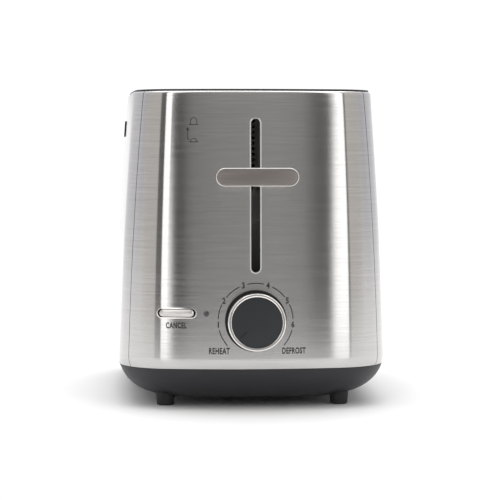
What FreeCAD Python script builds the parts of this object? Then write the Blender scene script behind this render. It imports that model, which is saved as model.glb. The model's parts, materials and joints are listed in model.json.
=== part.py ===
import FreeCAD, Part
import math
import os

# Two-slot pop-up toaster with its controls on one short end.
# Millimetres. X is the width, the control end faces -Y, and +Z is up.
# Working origin: under the middle of the shell, at the plane the feet stand on.
# At export every piece moves by CENTRE_SHIFT along Y, so that the row's origin is
# the middle of the bounding box's bottom.

V = FreeCAD.Vector

# Outer form
SHELL_TOP = 211.5        # top of the steel shell
TRIM_TOP = 212.5         # top of the charcoal trim frame
SHELL_FOOT = 27.6        # lower edge of the steel shell
WAIST = 34.8             # height of the widest section
HALF_WIDTH = 93.7        # at the waist
HALF_LENGTH = 141.0      # at the waist
SIDE_TAPER = 10.0        # each side leans in by this much from the waist to the top
END_TAPER = 4.0          # each end leans in by this much
SIDE_BULGE = 0.9         # the sides and ends swell by this much at mid height
BASE_INSET = 34.0        # below the waist the form is a quarter ellipse: its width
BASE_DROP = 29.8         # and its height
BASE_BOTTOM = WAIST - BASE_DROP
END_RADIUS = 300.0       # plan radius of the two ends
CORNER_RADIUS = 40.0     # plan radius of the corners at the waist
CORNER_TAPER = 8.0       # the corners are this much tighter at the top
SIDE_RADIUS = 1500.0     # plan radius of the two sides
TOP_EDGE_RADIUS = 2.0
CURL_STEP = 0.19         # angle between sections of the curl below the waist
CURL_STEPS = 8
WALL_STEP = 15.0         # spacing of the sections above it
WALL_STEPS = 13

# Shell sheet and seams
SHEET = 0.8
SEAM_LOW_Y = 118.4       # half distance between the end seams at the waist
SEAM_SPREAD = 2.2        # they are this much further out at the top
SEAM_GAP = 0.4
TOP_LIP = 4.0            # width of the shell's inturned top edge
STRIP_REACH = 6.0        # reach of the backing strips to each side of a seam
STRIP_GAP = 0.05

# Top trim and deck
TRIM_OVERLAP = 1.2       # distance from the shell's outer edge to the trim's
TRIM_WIDTH = 9.0
TRIM_RAIL = 2.0
DECK_TOP = 209.0
DECK_CLEARANCE = 0.2
SLOT_X = 30.0            # bread slot centre line
SLOT_HALF_WIDTH = 17.0
SLOT_FRONT = -60.0
SLOT_REAR = 90.0
SLOT_CORNER = 5.0
COLLAR_DEPTH = 6.0

# Base
BASE_WALL = 2.5
BASE_LIP = 2.0
BASE_LIP_TOP = 33.0
BASE_LIP_SKIN = 1.1
FOOT_X = 59.0
FOOT_Y = 105.0
FOOT_RADIUS = 6.4
FOOT_STEM_RADIUS = 2.5
FOOT_STEM_TOP = 14.0
BOSS_X = 70.0
BOSS_RADIUS = 5.0
BOSS_TOP = 21.0
SCREW_SEAT = 14.0
SCREW_RADIUS = 1.6
SCREW_HEAD_RADIUS = 3.0

# Crumb tray
TRAY_HALF_WIDTH = 56.0
TRAY_FRONT = -70.0
TRAY_REAR = 112.0
TRAY_FLOOR = 13.0
TRAY_RIM = 20.0
TRAY_SHEET = 0.8
TRAY_SLOT_HALF = 61.0
TRAY_SLOT_LOW = 12.6
TRAY_SLOT_HIGH = 24.6
TRAY_GRIP_REACH = 144.0
TRAY_GRIP_HALF = 18.0

# Chassis
FRONT_WALL = -70.0       # middle of the front bulkhead
REAR_WALL = 100.0
WALL_SHEET = 0.8
CHASSIS_HALF_WIDTH = 75.5
SHIELD_X = 69.0
SHIELD_SHEET = 0.6
HEATER_X = 61.0          # the outer heater boards; the third is on the centre plane
HEATER_BOARD = 1.0
HEATER_LOW = 40.0
HEATER_HIGH = 172.0
RIBBON_WIDTH = 1.6
RIBBON_THICK = 0.3
RIBBON_ROWS = 10

# Bread guides: wire cages that close on the bread
GUIDE_OFFSET = 15.0      # from the slot's centre line at rest
GUIDE_TRAVEL = 6.0
GUIDE_WIRE = 0.9         # wire radius
GUIDE_LOW = 37.0
GUIDE_HIGH = 197.0
GUIDE_WIRES = 8

# Bread racks, carriage and lever
RACK_REST = 96.0         # top of the rack at rest
RACK_HALF_WIDTH = 6.0
RACK_SHEET = 1.5
RACK_WEB_X = 31.0
LEVER_DROP = 56.0
LIFT_RISE = 30.0
LEVER_Z = 154.6
LEVER_HALF = 27.0
LEVER_HEIGHT = 12.0
LEVER_BACK = -144.0
LEVER_FRONT = -160.0
ARM_HALF = 1.2
ARM_HEIGHT = 8.0
CARRIAGE_Y = -80.0
CARRIAGE_HALF_DEPTH = 6.0
CARRIAGE_HALF_WIDTH = 26.0
CARRIAGE_LOW = 124.0
CARRIAGE_HIGH = 142.0
STRIKER_LOW = 128.0      # foot of the slider's wing that works the power switch
STRIKER_REACH = 46.0
RUNNING_GAP = 0.3
ROD_X = 19.0
ROD_RADIUS = 2.5
ROD_LOW = 38.0
ROD_HIGH = 198.0
BUSH_RADIUS = 4.5
BUSH_CLEARANCE = 0.05
BRACKET_SHEET = 1.2
LEG_X = 30.0
SPRING_RADIUS = 3.2
SPRING_WIRE = 0.4
SPRING_TURNS = 14

# Lever slot in the front panel
LEVER_SLOT_LOW = 91.7
LEVER_SLOT_HIGH = 192.8
LEVER_SLOT_HALF = 3.0
BEZEL_RIM = 0.8
BEZEL_PROUD = 0.5
BEZEL_DEPTH = 3.5
BEZEL_STAND_OFF = 0.06   # clears the slight swell of the panel

# Knob and browning control
KNOB_Z = 59.7
KNOB_SKIRT_RADIUS = 20.4
KNOB_RADIUS = 19.0
KNOB_FACE_RADIUS = 16.75
KNOB_BACK = -141.2
KNOB_SKIRT_FRONT = -143.0
KNOB_FRONT = -156.0
KNOB_CAP = 1.6
KNOB_RIM_PROUD = 0.5
POINTER_ANGLE = -132.0   # at rest, from straight up, clockwise seen from the front
SHAFT_RADIUS = 3.0

# Cancel button and indicator
BUTTON_X = -52.0
BUTTON_Z = 64.7
BUTTON_HALF = 11.3
BUTTON_HEIGHT = 4.9
BUTTON_BEZEL_HALF = 13.2
BUTTON_BEZEL_HEIGHT = 7.2
BUTTON_GAP = 0.35
BUTTON_TRAVEL = 1.8
INDICATOR_X = -32.5
INDICATOR_Z = 64.4
INDICATOR_RADIUS = 1.9

# Control electronics
BOARD_Y = -117.0         # front face of the control board
BOARD_THICK = 1.6
BOARD_HALF = 66.0
BOARD_LOW = 40.0
BOARD_HIGH = 86.0

# Cord inlet
GLAND_X = 0.0
GLAND_Z = 48.0
GLAND_RADIUS = 8.0
GLAND_FLANGE_RADIUS = 10.5
GLAND_BORE = 3.8
GLAND_BACK = 131.0

# Blank badge on the left side
BADGE_Z = 187.5
BADGE_HALF = 26.0
BADGE_HEIGHT = 11.0
BADGE_PROUD = 0.9

CENTRE_SHIFT = (-LEVER_FRONT - TRAY_GRIP_REACH) / 2

FAR = 400.0              # longer than anything in the object


def box(x_low, x_high, y_low, y_high, z_low, z_high):
    return Part.makeBox(x_high - x_low, y_high - y_low, z_high - z_low, V(x_low, y_low, z_low))


def cylinder(radius, start, end):
    along = V(*end) - V(*start)
    return Part.makeCylinder(radius, along.Length, V(*start), along)


def fuse(shapes):
    return shapes[0].multiFuse(shapes[1:]).removeSplitter()


def mirrored_x(shape):
    return shape.mirror(V(0, 0, 0), V(1, 0, 0))


def pill(centre_x, centre_z, half_length, height, y_low, y_high, upright=False):
    """A slot-shaped prism along Y, lying along X, or along Z when upright."""
    radius = height / 2
    reach = half_length - radius
    if upright:
        core = box(centre_x - radius, centre_x + radius, y_low, y_high, centre_z - reach, centre_z + reach)
        ends = [(centre_x, centre_z - reach), (centre_x, centre_z + reach)]
    else:
        core = box(centre_x - reach, centre_x + reach, y_low, y_high, centre_z - radius, centre_z + radius)
        ends = [(centre_x - reach, centre_z), (centre_x + reach, centre_z)]
    rounds = [cylinder(radius, (x, y_low, z), (x, y_high, z)) for x, z in ends]
    return fuse([core] + rounds)


# The outer form -------------------------------------------------------------

def rise_share(z):
    return max(0.0, (z - WAIST) / (SHELL_TOP - WAIST))


def swell(z):
    share = rise_share(z)
    return 4 * SIDE_BULGE * share * (1 - share)


def inset_at(z, skin):
    """How far a surface lying skin under the outer form is inside the waist outline."""
    if z >= WAIST:
        return skin
    share = min(1.0, (WAIST - z) / (BASE_DROP - skin))
    return BASE_INSET - (BASE_INSET - skin) * math.sqrt(1 - share * share)


def half_width_at(z, skin=0.0):
    return HALF_WIDTH - SIDE_TAPER * rise_share(z) + swell(z) - inset_at(z, skin)


def half_length_at(z, skin=0.0):
    return HALF_LENGTH - END_TAPER * rise_share(z) + swell(z) - inset_at(z, skin)


def outline(section_z, skin, z):
    """The form's plan outline at one height, drawn at level z.

    End, corner and side arcs follow each other, each tangent to the next.
    """
    half_width = half_width_at(section_z, skin)
    half_length = half_length_at(section_z, skin)
    end_radius = END_RADIUS - skin
    corner_radius = CORNER_RADIUS - CORNER_TAPER * rise_share(section_z) - skin
    side_radius = SIDE_RADIUS - skin
    end_centre = V(0, end_radius - half_length, z)
    side_centre = V(half_width - side_radius, 0, z)
    link = side_centre - end_centre
    reach = end_radius - corner_radius
    along = (reach ** 2 - (side_radius - corner_radius) ** 2 + link.Length ** 2) / (2 * link.Length)
    across = math.sqrt(reach ** 2 - along ** 2)
    unit = V(link).normalize()
    corner = end_centre + unit * along + V(-unit.y, unit.x, 0) * across
    end_tangent = end_centre + (corner - end_centre).normalize() * end_radius
    side_tangent = side_centre + (corner - side_centre).normalize() * side_radius
    bisector = (end_tangent - corner).normalize() + (side_tangent - corner).normalize()
    corner_mid = corner + bisector.normalize() * corner_radius

    end_x, end_y = end_tangent.x, end_tangent.y
    mid_x, mid_y = corner_mid.x, corner_mid.y
    side_x, side_y = side_tangent.x, side_tangent.y
    ring = [(-end_x, end_y), (0, -half_length), (end_x, end_y), (mid_x, mid_y),
            (side_x, side_y), (half_width, 0), (side_x, -side_y), (mid_x, -mid_y),
            (end_x, -end_y), (0, half_length), (-end_x, -end_y), (-mid_x, -mid_y),
            (-side_x, -side_y), (-half_width, 0), (-side_x, side_y), (-mid_x, mid_y)]
    points = [V(x, y, z) for x, y in ring]
    arcs = [Part.Arc(points[i], points[i + 1], points[(i + 2) % 16]) for i in range(0, 16, 2)]
    return Part.Wire([arc.toShape() for arc in arcs])


def loft(levels, skin, ruled):
    return Part.makeLoft([outline(z, skin, z) for z in levels], True, ruled)


def between(levels, low, high):
    return [low] + [z for z in levels if low + 0.3 < z < high - 0.3] + [high]


def form(skin, low, high):
    """Solid of the outer form, set in by skin, between two heights."""
    pieces = []
    if low < WAIST:
        angles = [math.pi / 2 - CURL_STEP * i for i in range(1, CURL_STEPS)]
        curl = [WAIST - (BASE_DROP - skin) * math.sin(angle) for angle in angles]
        pieces.append(loft(between(curl, low, min(high, WAIST)), skin, False))
    if high > WAIST:
        wall = [WAIST + WALL_STEP * i for i in range(WALL_STEPS)]
        pieces.append(loft(between(wall, max(low, WAIST), high), skin, True))
    return pieces[0] if len(pieces) == 1 else fuse(pieces)


def plate(skin, low, high):
    """Flat plate with the top outline, set in by skin."""
    wire = outline(SHELL_TOP, skin, low)
    return Part.Face(wire).extrude(V(0, 0, high - low))


# Shell ------------------------------------------------------------------------

def seam_y(z):
    return SEAM_LOW_Y + SEAM_SPREAD * (z - WAIST) / (SHELL_TOP - WAIST)


def end_region(offset):
    """Everything in front of the front seam, moved towards the front by offset."""
    low, high = 0.0, 260.0
    corners = [V(-FAR, -FAR, low), V(-FAR, -seam_y(low) - offset, low),
               V(-FAR, -seam_y(high) - offset, high), V(-FAR, -FAR, high)]
    return Part.Face(Part.makePolygon(corners + corners[:1])).extrude(V(2 * FAR, 0, 0))


def behind(shape):
    return shape.mirror(V(0, 0, 0), V(0, 1, 0))


def make_shell():
    """The whole sheet-steel skin, open at the foot and with an inturned lip at the top."""
    outer = form(0, SHELL_FOOT, SHELL_TOP)
    top_edges = [edge for edge in outer.Edges if edge.BoundBox.ZMin > SHELL_TOP - 0.01]
    outer = outer.makeFillet(TOP_EDGE_RADIUS, top_edges)
    inner = form(SHEET, SHELL_FOOT - 1, SHELL_TOP - SHEET)
    top_edges = [edge for edge in inner.Edges if edge.BoundBox.ZMin > SHELL_TOP - SHEET - 0.01]
    inner = inner.makeFillet(TOP_EDGE_RADIUS - SHEET, top_edges)
    return outer.cut([inner, plate(TOP_LIP, SHELL_TOP - 3, SHELL_TOP + 3)])


def make_seam_strips():
    """Strips welded inside the right side panel that back its two seams."""
    low = WAIST + 1.2
    high = SHELL_TOP - 6
    skin = form(SHEET + STRIP_GAP, low, high).cut(form(2 * SHEET, low - 1, high + 1))
    strip = skin.common(end_region(-STRIP_REACH)).cut(end_region(STRIP_REACH))
    strip = strip.common(box(0, FAR, -FAR, FAR, 0, 260))
    return [strip, behind(strip)]


def make_panels():
    shell = make_shell()
    front = shell.common(end_region(SEAM_GAP / 2))
    sides = shell.cut([end_region(-SEAM_GAP / 2), behind(end_region(-SEAM_GAP / 2))])
    right = sides.common(box(0, FAR, -FAR, FAR, 0, 260))
    right = Part.makeCompound([right] + make_seam_strips())
    rear = behind(front)
    front = front.cut([pill(0, (LEVER_SLOT_LOW + LEVER_SLOT_HIGH) / 2,
                            (LEVER_SLOT_HIGH - LEVER_SLOT_LOW) / 2 + BEZEL_RIM / 2,
                            2 * LEVER_SLOT_HALF + BEZEL_RIM, -150, -120, upright=True),
                       cylinder(SHAFT_RADIUS + 1, (0, -150, KNOB_Z), (0, -120, KNOB_Z)),
                       button_prism(BUTTON_HALF + 1.2, BUTTON_HEIGHT + 1.6),
                       indicator_prism(INDICATOR_RADIUS - 0.3)])
    rear = rear.cut(cylinder(GLAND_RADIUS, (GLAND_X, 120, GLAND_Z), (GLAND_X, 150, GLAND_Z)))
    return {"front_panel": front, "rear_panel": rear,
            "right_side_panel": right, "left_side_panel": mirrored_x(right)}


def face_y(x, z):
    """Depth of the end panel's face at a place inside its end arc."""
    return -half_length_at(z) + END_RADIUS - math.sqrt(END_RADIUS ** 2 - x ** 2)


def face_turn(x):
    return math.degrees(math.asin(x / END_RADIUS))


def local_to_face(shape, x):
    """Turns a shape made along Y so that it is square to the end panel at x."""
    return shape.rotate(V(x, face_y(x, BUTTON_Z), 0), V(0, 0, 1), face_turn(x))


def button_prism(half_length, height, front=-160.0, back=-118.0):
    return local_to_face(pill(BUTTON_X, BUTTON_Z, half_length, height, front, back), BUTTON_X)


def indicator_prism(radius, front=-160.0, back=-118.0):
    tube = cylinder(radius, (INDICATOR_X, front, INDICATOR_Z), (INDICATOR_X, back, INDICATOR_Z))
    return local_to_face(tube, INDICATOR_X)


def make_top():
    """Charcoal trim frame and the brushed deck with the two bread slots."""
    flange = plate(TRIM_OVERLAP, SHELL_TOP, TRIM_TOP)
    rail = plate(TOP_LIP + DECK_CLEARANCE, DECK_TOP - 4, SHELL_TOP)
    trim = fuse([flange, rail])
    pocket_skin = TOP_LIP + DECK_CLEARANCE + TRIM_RAIL
    trim = trim.cut([plate(TRIM_WIDTH, DECK_TOP - 5, TRIM_TOP + 1), plate(pocket_skin, DECK_TOP - 5, DECK_TOP)])
    deck = plate(pocket_skin + DECK_CLEARANCE, DECK_TOP - SHEET, DECK_TOP)
    deck = fuse([deck] + [slot_block(side, 0, DECK_TOP - COLLAR_DEPTH, DECK_TOP) for side in (-1, 1)])
    deck = deck.cut([slot_block(side, SHEET, 0, TRIM_TOP) for side in (-1, 1)])
    return {"top_trim": trim, "top_deck": deck}


def slot_block(side, skin, low, high):
    """Rounded block of one bread slot, measured to the outside of its collar less skin."""
    half = SLOT_HALF_WIDTH + SHEET - skin
    block = box(side * SLOT_X - half, side * SLOT_X + half,
                SLOT_FRONT - SHEET + skin, SLOT_REAR + SHEET - skin, low, high)
    corners = [edge for edge in block.Edges if edge.BoundBox.ZLength > 1]
    return block.makeFillet(SLOT_CORNER - skin, corners)


def make_badge():
    """Blank plate on the left side, following the side's lean and curve."""
    high = BADGE_Z + BADGE_HEIGHT / 2
    low = BADGE_Z - BADGE_HEIGHT / 2
    skin = form(-BADGE_PROUD, low - 5, high + 5).cut(form(0, low - 6, high + 6))
    block = box(-FAR, 0, -BADGE_HALF, BADGE_HALF, low, high)
    corners = [edge for edge in block.Edges if edge.BoundBox.XLength > 1]
    return {"side_badge": skin.common(block.makeFillet(1.5, corners))}


# Base ---------------------------------------------------------------------------

def make_base():
    tub = form(0, BASE_BOTTOM, SHELL_FOOT).cut(form(BASE_WALL, BASE_BOTTOM + BASE_WALL, SHELL_FOOT + 1))
    lip = form(BASE_LIP_SKIN, SHELL_FOOT - 5, BASE_LIP_TOP)
    lip = lip.cut(form(BASE_LIP_SKIN + BASE_LIP, SHELL_FOOT - 6, BASE_LIP_TOP + 1))
    outer = form(0, BASE_BOTTOM, BASE_LIP_TOP)
    bosses = [cylinder(BOSS_RADIUS, (x, y, 0), (x, y, BOSS_TOP)).common(outer) for x, y in boss_places()]
    rails = [box(side * TRAY_SLOT_HALF - 1, side * TRAY_SLOT_HALF + 1, -80, 95, 6, TRAY_RIM)
             for side in (-1, 1)]
    rests = [box(side * 40 - 1, side * 40 + 1, -80, 100, 6, TRAY_FLOOR - RUNNING_GAP) for side in (-1, 1)]
    solid = fuse([tub, lip] + bosses + rails + rests)
    holes = [box(-TRAY_SLOT_HALF, TRAY_SLOT_HALF, 112, 160, TRAY_SLOT_LOW, TRAY_SLOT_HIGH)]
    for x, y in boss_places():
        holes.append(cylinder(SCREW_HEAD_RADIUS + 0.4, (x, y, 0), (x, y, SCREW_SEAT)))
        holes.append(cylinder(SCREW_RADIUS, (x, y, 0), (x, y, 30)))
    for x, y in foot_places():
        holes.append(cylinder(FOOT_STEM_RADIUS, (x, y, 0), (x, y, 30)))
    for row in range(8):
        vent_y = -56 + 16 * row
        holes.append(box(-34, 34, vent_y - 2, vent_y + 2, 0, 9))
    return {"base_housing": solid.cut(holes)}


def boss_places():
    front = FRONT_WALL - BOSS_RADIUS - 1
    rear = REAR_WALL + BOSS_RADIUS + 1
    return [(side * BOSS_X, y) for side in (-1, 1) for y in (front, rear)]


def foot_places():
    return [(side_x * FOOT_X, side_y * FOOT_Y) for side_y in (-1, 1) for side_x in (-1, 1)]


def make_feet():
    feet = {}
    names = ["foot_front_left", "foot_front_right", "foot_rear_left", "foot_rear_right"]
    base = form(0, BASE_BOTTOM, SHELL_FOOT)
    for name, (x, y) in zip(names, foot_places()):
        pad = cylinder(FOOT_RADIUS, (x, y, 0), (x, y, 20))
        pad = pad.makeFillet(1.0, [e for e in pad.Edges if e.BoundBox.ZMax < 0.01]).cut(base)
        low = [solid for solid in pad.Solids if solid.BoundBox.ZMin < 1]
        stem = cylinder(FOOT_STEM_RADIUS, (x, y, 3), (x, y, FOOT_STEM_TOP))
        feet[name] = fuse(low + [stem])
    return feet


def make_tray():
    """Crumb tray and its handle, which is a piece of the base's rear wall."""
    pan = box(-TRAY_HALF_WIDTH, TRAY_HALF_WIDTH, TRAY_FRONT, TRAY_REAR, TRAY_FLOOR, TRAY_RIM)
    pan = pan.cut(box(-TRAY_HALF_WIDTH + TRAY_SHEET, TRAY_HALF_WIDTH - TRAY_SHEET,
                      TRAY_FRONT + TRAY_SHEET, TRAY_REAR - TRAY_SHEET, TRAY_FLOOR + TRAY_SHEET, TRAY_RIM + 1))
    half = TRAY_SLOT_HALF - RUNNING_GAP
    low = TRAY_SLOT_LOW + RUNNING_GAP
    high = TRAY_SLOT_HIGH - RUNNING_GAP
    wall = form(0, low, high).cut(form(BASE_WALL, low - 1, high + 1))
    door = wall.common(box(-half, half, TRAY_REAR, FAR, low, high))
    tongue = box(-TRAY_HALF_WIDTH + 3, TRAY_HALF_WIDTH - 3, TRAY_REAR, FAR, low, low + 2)
    tongue = tongue.common(form(1, low - 1, high))
    grip = box(-TRAY_GRIP_HALF, TRAY_GRIP_HALF, HALF_LENGTH - 10, TRAY_GRIP_REACH, 16.6, 19.6)
    grip = grip.makeFillet(4.0, [e for e in grip.Edges if e.BoundBox.YMin > TRAY_GRIP_REACH - 0.01
                                 and e.BoundBox.ZLength > 1])
    grip = grip.makeFillet(1.0, [e for e in grip.Edges if e.BoundBox.ZLength < 0.01
                                 and e.BoundBox.YMax > HALF_LENGTH - 9])
    return {"crumb_tray": pan, "crumb_tray_handle": fuse([door, tongue, grip])}


def make_base_screws():
    screws = []
    for x, y in boss_places():
        shank = cylinder(SCREW_RADIUS, (x, y, SCREW_SEAT - 1), (x, y, BOSS_TOP + 3))
        head = cylinder(SCREW_HEAD_RADIUS, (x, y, SCREW_SEAT - 2), (x, y, SCREW_SEAT))
        cross = box(x - 0.4, x + 0.4, y - 1.8, y + 1.8, SCREW_SEAT - 3, SCREW_SEAT - 1)
        screws.append(fuse([shank, head]).cut(cross))
    return {"base_screws": Part.makeCompound(screws)}


# Toasting chamber ---------------------------------------------------------------

def guide_places():
    """Name, rest x and closing direction of each bread guide."""
    places = []
    for slot_name, slot in (("left", -SLOT_X), ("right", SLOT_X)):
        for side_name, side in (("outer", math.copysign(1, slot)), ("inner", -math.copysign(1, slot))):
            places.append((slot_name + "_" + side_name, slot + side * GUIDE_OFFSET, -side))
    return places


def rail_x(x, closing):
    return x - closing * (2 * GUIDE_WIRE - 0.2)


def make_bulkheads():
    walls = {}
    for name, y, outward in (("front_bulkhead", FRONT_WALL, -1), ("rear_bulkhead", REAR_WALL, 1)):
        half = WALL_SHEET / 2
        wall = box(-CHASSIS_HALF_WIDTH, CHASSIS_HALF_WIDTH, y - half, y + half, BOSS_TOP, DECK_TOP - SHEET)
        tab_y = sorted((y - outward * half, y + outward * (2 * BOSS_RADIUS + 1)))
        tabs = [box(side * BOSS_X - BOSS_RADIUS, side * BOSS_X + BOSS_RADIUS, tab_y[0], tab_y[1],
                    BOSS_TOP, BOSS_TOP + WALL_SHEET) for side in (-1, 1)]
        holes = [cylinder(SCREW_RADIUS, (bx, by, 15), (bx, by, 30)) for bx, by in boss_places()]
        holes += [box(side * CHASSIS_HALF_WIDTH - 2.5, side * CHASSIS_HALF_WIDTH + 2.5, y - 2, y + 2,
                      DECK_TOP - 4.3, DECK_TOP) for side in (-1, 1)]
        for guide, x, closing in guide_places():
            ends = sorted((rail_x(x, closing) - closing * (GUIDE_WIRE + 0.4),
                           rail_x(x, closing) + closing * (GUIDE_TRAVEL + GUIDE_WIRE + 0.4)))
            for z in (GUIDE_LOW, GUIDE_HIGH):
                holes.append(box(ends[0], ends[1], y - 2, y + 2, z - GUIDE_WIRE - 0.4, z + GUIDE_WIRE + 0.4))
        if outward < 0:
            low = RACK_REST - LEVER_DROP - 8
            high = RACK_REST + LIFT_RISE + 2
            for side in (-1, 1):
                centre = side * (RACK_WEB_X + RACK_SHEET / 2)
                holes.append(box(centre - 1.5, centre + 1.5, y - 2, y + 2, low, high))
        walls[name] = fuse([wall] + tabs).cut(holes)
    return walls


def make_heaters():
    """Three mica boards, their resistance ribbons and the two outer shields."""
    pieces = {}
    ribbons = []
    front = FRONT_WALL + WALL_SHEET / 2
    rear = REAR_WALL - WALL_SHEET / 2
    half = HEATER_BOARD / 2
    for name, x, faces in (("left", -HEATER_X, [1]), ("centre", 0, [-1, 1]), ("right", HEATER_X, [-1])):
        board = box(x - half, x + half, front, rear, HEATER_LOW, HEATER_HIGH)
        pieces["heater_board_" + name] = board
        ribbons += [ribbon(x + face * (half + RIBBON_THICK / 2), front + 8, rear - 8) for face in faces]
    pieces["heater_ribbons"] = Part.makeCompound(ribbons)
    for name, side in (("left", -1), ("right", 1)):
        edges = sorted((side * SHIELD_X, side * (SHIELD_X + SHIELD_SHEET)))
        pieces["heat_shield_" + name] = box(edges[0], edges[1], front, rear, 24, DECK_TOP - 7)
    return pieces


def ribbon(x, front, rear):
    """One flat resistance ribbon that runs to and fro up a board."""
    pitch = (HEATER_HIGH - HEATER_LOW - 20) / (RIBBON_ROWS - 1)
    thick = RIBBON_THICK / 2
    wide = RIBBON_WIDTH / 2
    runs = []
    for row in range(RIBBON_ROWS):
        z = HEATER_LOW + 10 + pitch * row
        runs.append(box(x - thick, x + thick, front, rear, z - wide, z + wide))
        if row < RIBBON_ROWS - 1:
            y = rear if row % 2 == 0 else front
            low, high = sorted((y, y + (-RIBBON_WIDTH if row % 2 == 0 else RIBBON_WIDTH)))
            runs.append(box(x - thick, x + thick, low, high, z, z + pitch))
    return fuse(runs)


def make_guides():
    guides = {}
    wires_front = SLOT_FRONT + 2
    wires_rear = SLOT_REAR - 2
    for name, x, closing in guide_places():
        rail = rail_x(x, closing)
        parts = [cylinder(GUIDE_WIRE, (rail, FRONT_WALL - 2.6, z), (rail, REAR_WALL + 2.6, z))
                 for z in (GUIDE_LOW, GUIDE_HIGH)]
        for i in range(GUIDE_WIRES):
            y = wires_front + (wires_rear - wires_front) * i / (GUIDE_WIRES - 1)
            parts.append(cylinder(GUIDE_WIRE, (x, y, GUIDE_LOW - 2), (x, y, GUIDE_HIGH + 2)))
        guides["bread_guide_" + name] = fuse(parts)
    return guides


# Carriage and lever ---------------------------------------------------------------

def make_racks():
    """Toothed bars that carry the bread, each with a web through the front bulkhead."""
    racks = {}
    top = RACK_REST
    bar = box(SLOT_X - RACK_HALF_WIDTH, SLOT_X + RACK_HALF_WIDTH, SLOT_FRONT + 2, SLOT_REAR - 2,
              top - RACK_SHEET, top)
    notches = [box(SLOT_X + side * RACK_HALF_WIDTH - 2, SLOT_X + side * RACK_HALF_WIDTH + 2,
                   y - 4, y + 4, top - 3, top + 1)
               for side in (-1, 1) for y in range(-44, 90, 17)]
    web = box(RACK_WEB_X, RACK_WEB_X + RACK_SHEET, CARRIAGE_Y - 4, SLOT_REAR - 2, top - 6, top - RACK_SHEET / 2)
    right = fuse([bar.cut(notches), web])
    racks["bread_rack_right"] = right
    racks["bread_rack_left"] = mirrored_x(right)
    return racks


def make_carriage():
    """Sprung slider on the two guide rods, its switch striker, bushes and magnet armature."""
    depth = CARRIAGE_HALF_DEPTH
    slider = box(-CARRIAGE_HALF_WIDTH, CARRIAGE_HALF_WIDTH, CARRIAGE_Y - depth, CARRIAGE_Y + depth,
                 CARRIAGE_LOW, CARRIAGE_HIGH)
    inside = CARRIAGE_HALF_WIDTH - BRACKET_SHEET
    slider = slider.cut(box(-inside, inside, CARRIAGE_Y - depth - 1, CARRIAGE_Y + depth - BRACKET_SHEET,
                            CARRIAGE_LOW + BRACKET_SHEET, CARRIAGE_HIGH - BRACKET_SHEET))
    wing_front = CARRIAGE_Y - depth - 2
    wing = [box(inside, CARRIAGE_HALF_WIDTH, wing_front, CARRIAGE_Y - depth, STRIKER_LOW, STRIKER_LOW + 6),
            box(inside, STRIKER_REACH, wing_front, wing_front + 1.4, STRIKER_LOW, STRIKER_LOW + 6)]
    bores = [cylinder(BUSH_RADIUS, (x, CARRIAGE_Y, 0), (x, CARRIAGE_Y, 250)) for x in (-ROD_X, ROD_X)]
    slider = fuse([slider] + wing).cut(bores)
    armature = box(-9, 9, CARRIAGE_Y - 5, CARRIAGE_Y + 5, CARRIAGE_LOW - 2.5, CARRIAGE_LOW)
    stud = cylinder(2, (0, CARRIAGE_Y - 2, CARRIAGE_LOW), (0, CARRIAGE_Y - 2, CARRIAGE_LOW + BRACKET_SHEET))
    return {"carriage_slider": slider.cut(stud), "magnet_armature": fuse([armature, stud]),
            "carriage_bushes": bushes(CARRIAGE_LOW, CARRIAGE_HIGH)}


def bushes(low, high):
    tubes = []
    for x in (-ROD_X, ROD_X):
        outside = cylinder(BUSH_RADIUS, (x, CARRIAGE_Y, low), (x, CARRIAGE_Y, high))
        tubes.append(outside.cut(cylinder(ROD_RADIUS + BUSH_CLEARANCE, (x, CARRIAGE_Y, low - 1),
                                          (x, CARRIAGE_Y, high + 1))))
    return Part.makeCompound(tubes)


def make_lift_bridge():
    """Bridge that stands on the slider, holds the racks' webs and carries the lever arm."""
    depth = CARRIAGE_HALF_DEPTH
    low = CARRIAGE_HIGH + RUNNING_GAP
    top = box(-LEG_X - 1, LEG_X + 1, CARRIAGE_Y - depth, CARRIAGE_Y + depth, low, low + 2)
    legs = [box(side * LEG_X - 1, side * LEG_X + 1, CARRIAGE_Y - depth, CARRIAGE_Y + depth, RACK_REST - 7, low + 2)
            for side in (-1, 1)]
    collars = [cylinder(BUSH_RADIUS, (x, CARRIAGE_Y, low), (x, CARRIAGE_Y, low + 10)) for x in (-ROD_X, ROD_X)]
    tongue = box(ARM_HALF, ARM_HALF + 2, CARRIAGE_Y - depth - 10, CARRIAGE_Y - depth + 3, low, LEVER_Z + 5)
    holes = [cylinder(ROD_RADIUS + BUSH_CLEARANCE, (x, CARRIAGE_Y, low - 1), (x, CARRIAGE_Y, low + 11))
             for x in (-ROD_X, ROD_X)]
    holes.append(cylinder(SPRING_RADIUS + 1.4, (0, CARRIAGE_Y + 1, low - 1), (0, CARRIAGE_Y + 1, low + 3)))
    return {"lift_bridge": fuse([top, tongue] + legs + collars).cut(holes)}


def make_lever():
    half = ARM_HEIGHT / 2
    arm = box(-ARM_HALF, ARM_HALF, LEVER_FRONT + 8, CARRIAGE_Y - CARRIAGE_HALF_DEPTH - 1,
              LEVER_Z - half, LEVER_Z + half)
    body = pill(0, LEVER_Z, LEVER_HALF, LEVER_HEIGHT, LEVER_FRONT, LEVER_BACK)
    body = body.makeFillet(1.0, [e for e in body.Edges if e.BoundBox.YLength < 0.01])
    body = body.cut([pill(0, LEVER_Z, LEVER_HALF - 1, LEVER_HEIGHT - 2, LEVER_FRONT - 1, LEVER_FRONT + 1.2), arm])
    face = pill(0, LEVER_Z, LEVER_HALF - 1.1, LEVER_HEIGHT - 2.2, LEVER_FRONT + 0.4, LEVER_FRONT + 1.2)
    return {"lever_arm": arm, "lever_body": body, "lever_face": face}


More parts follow.
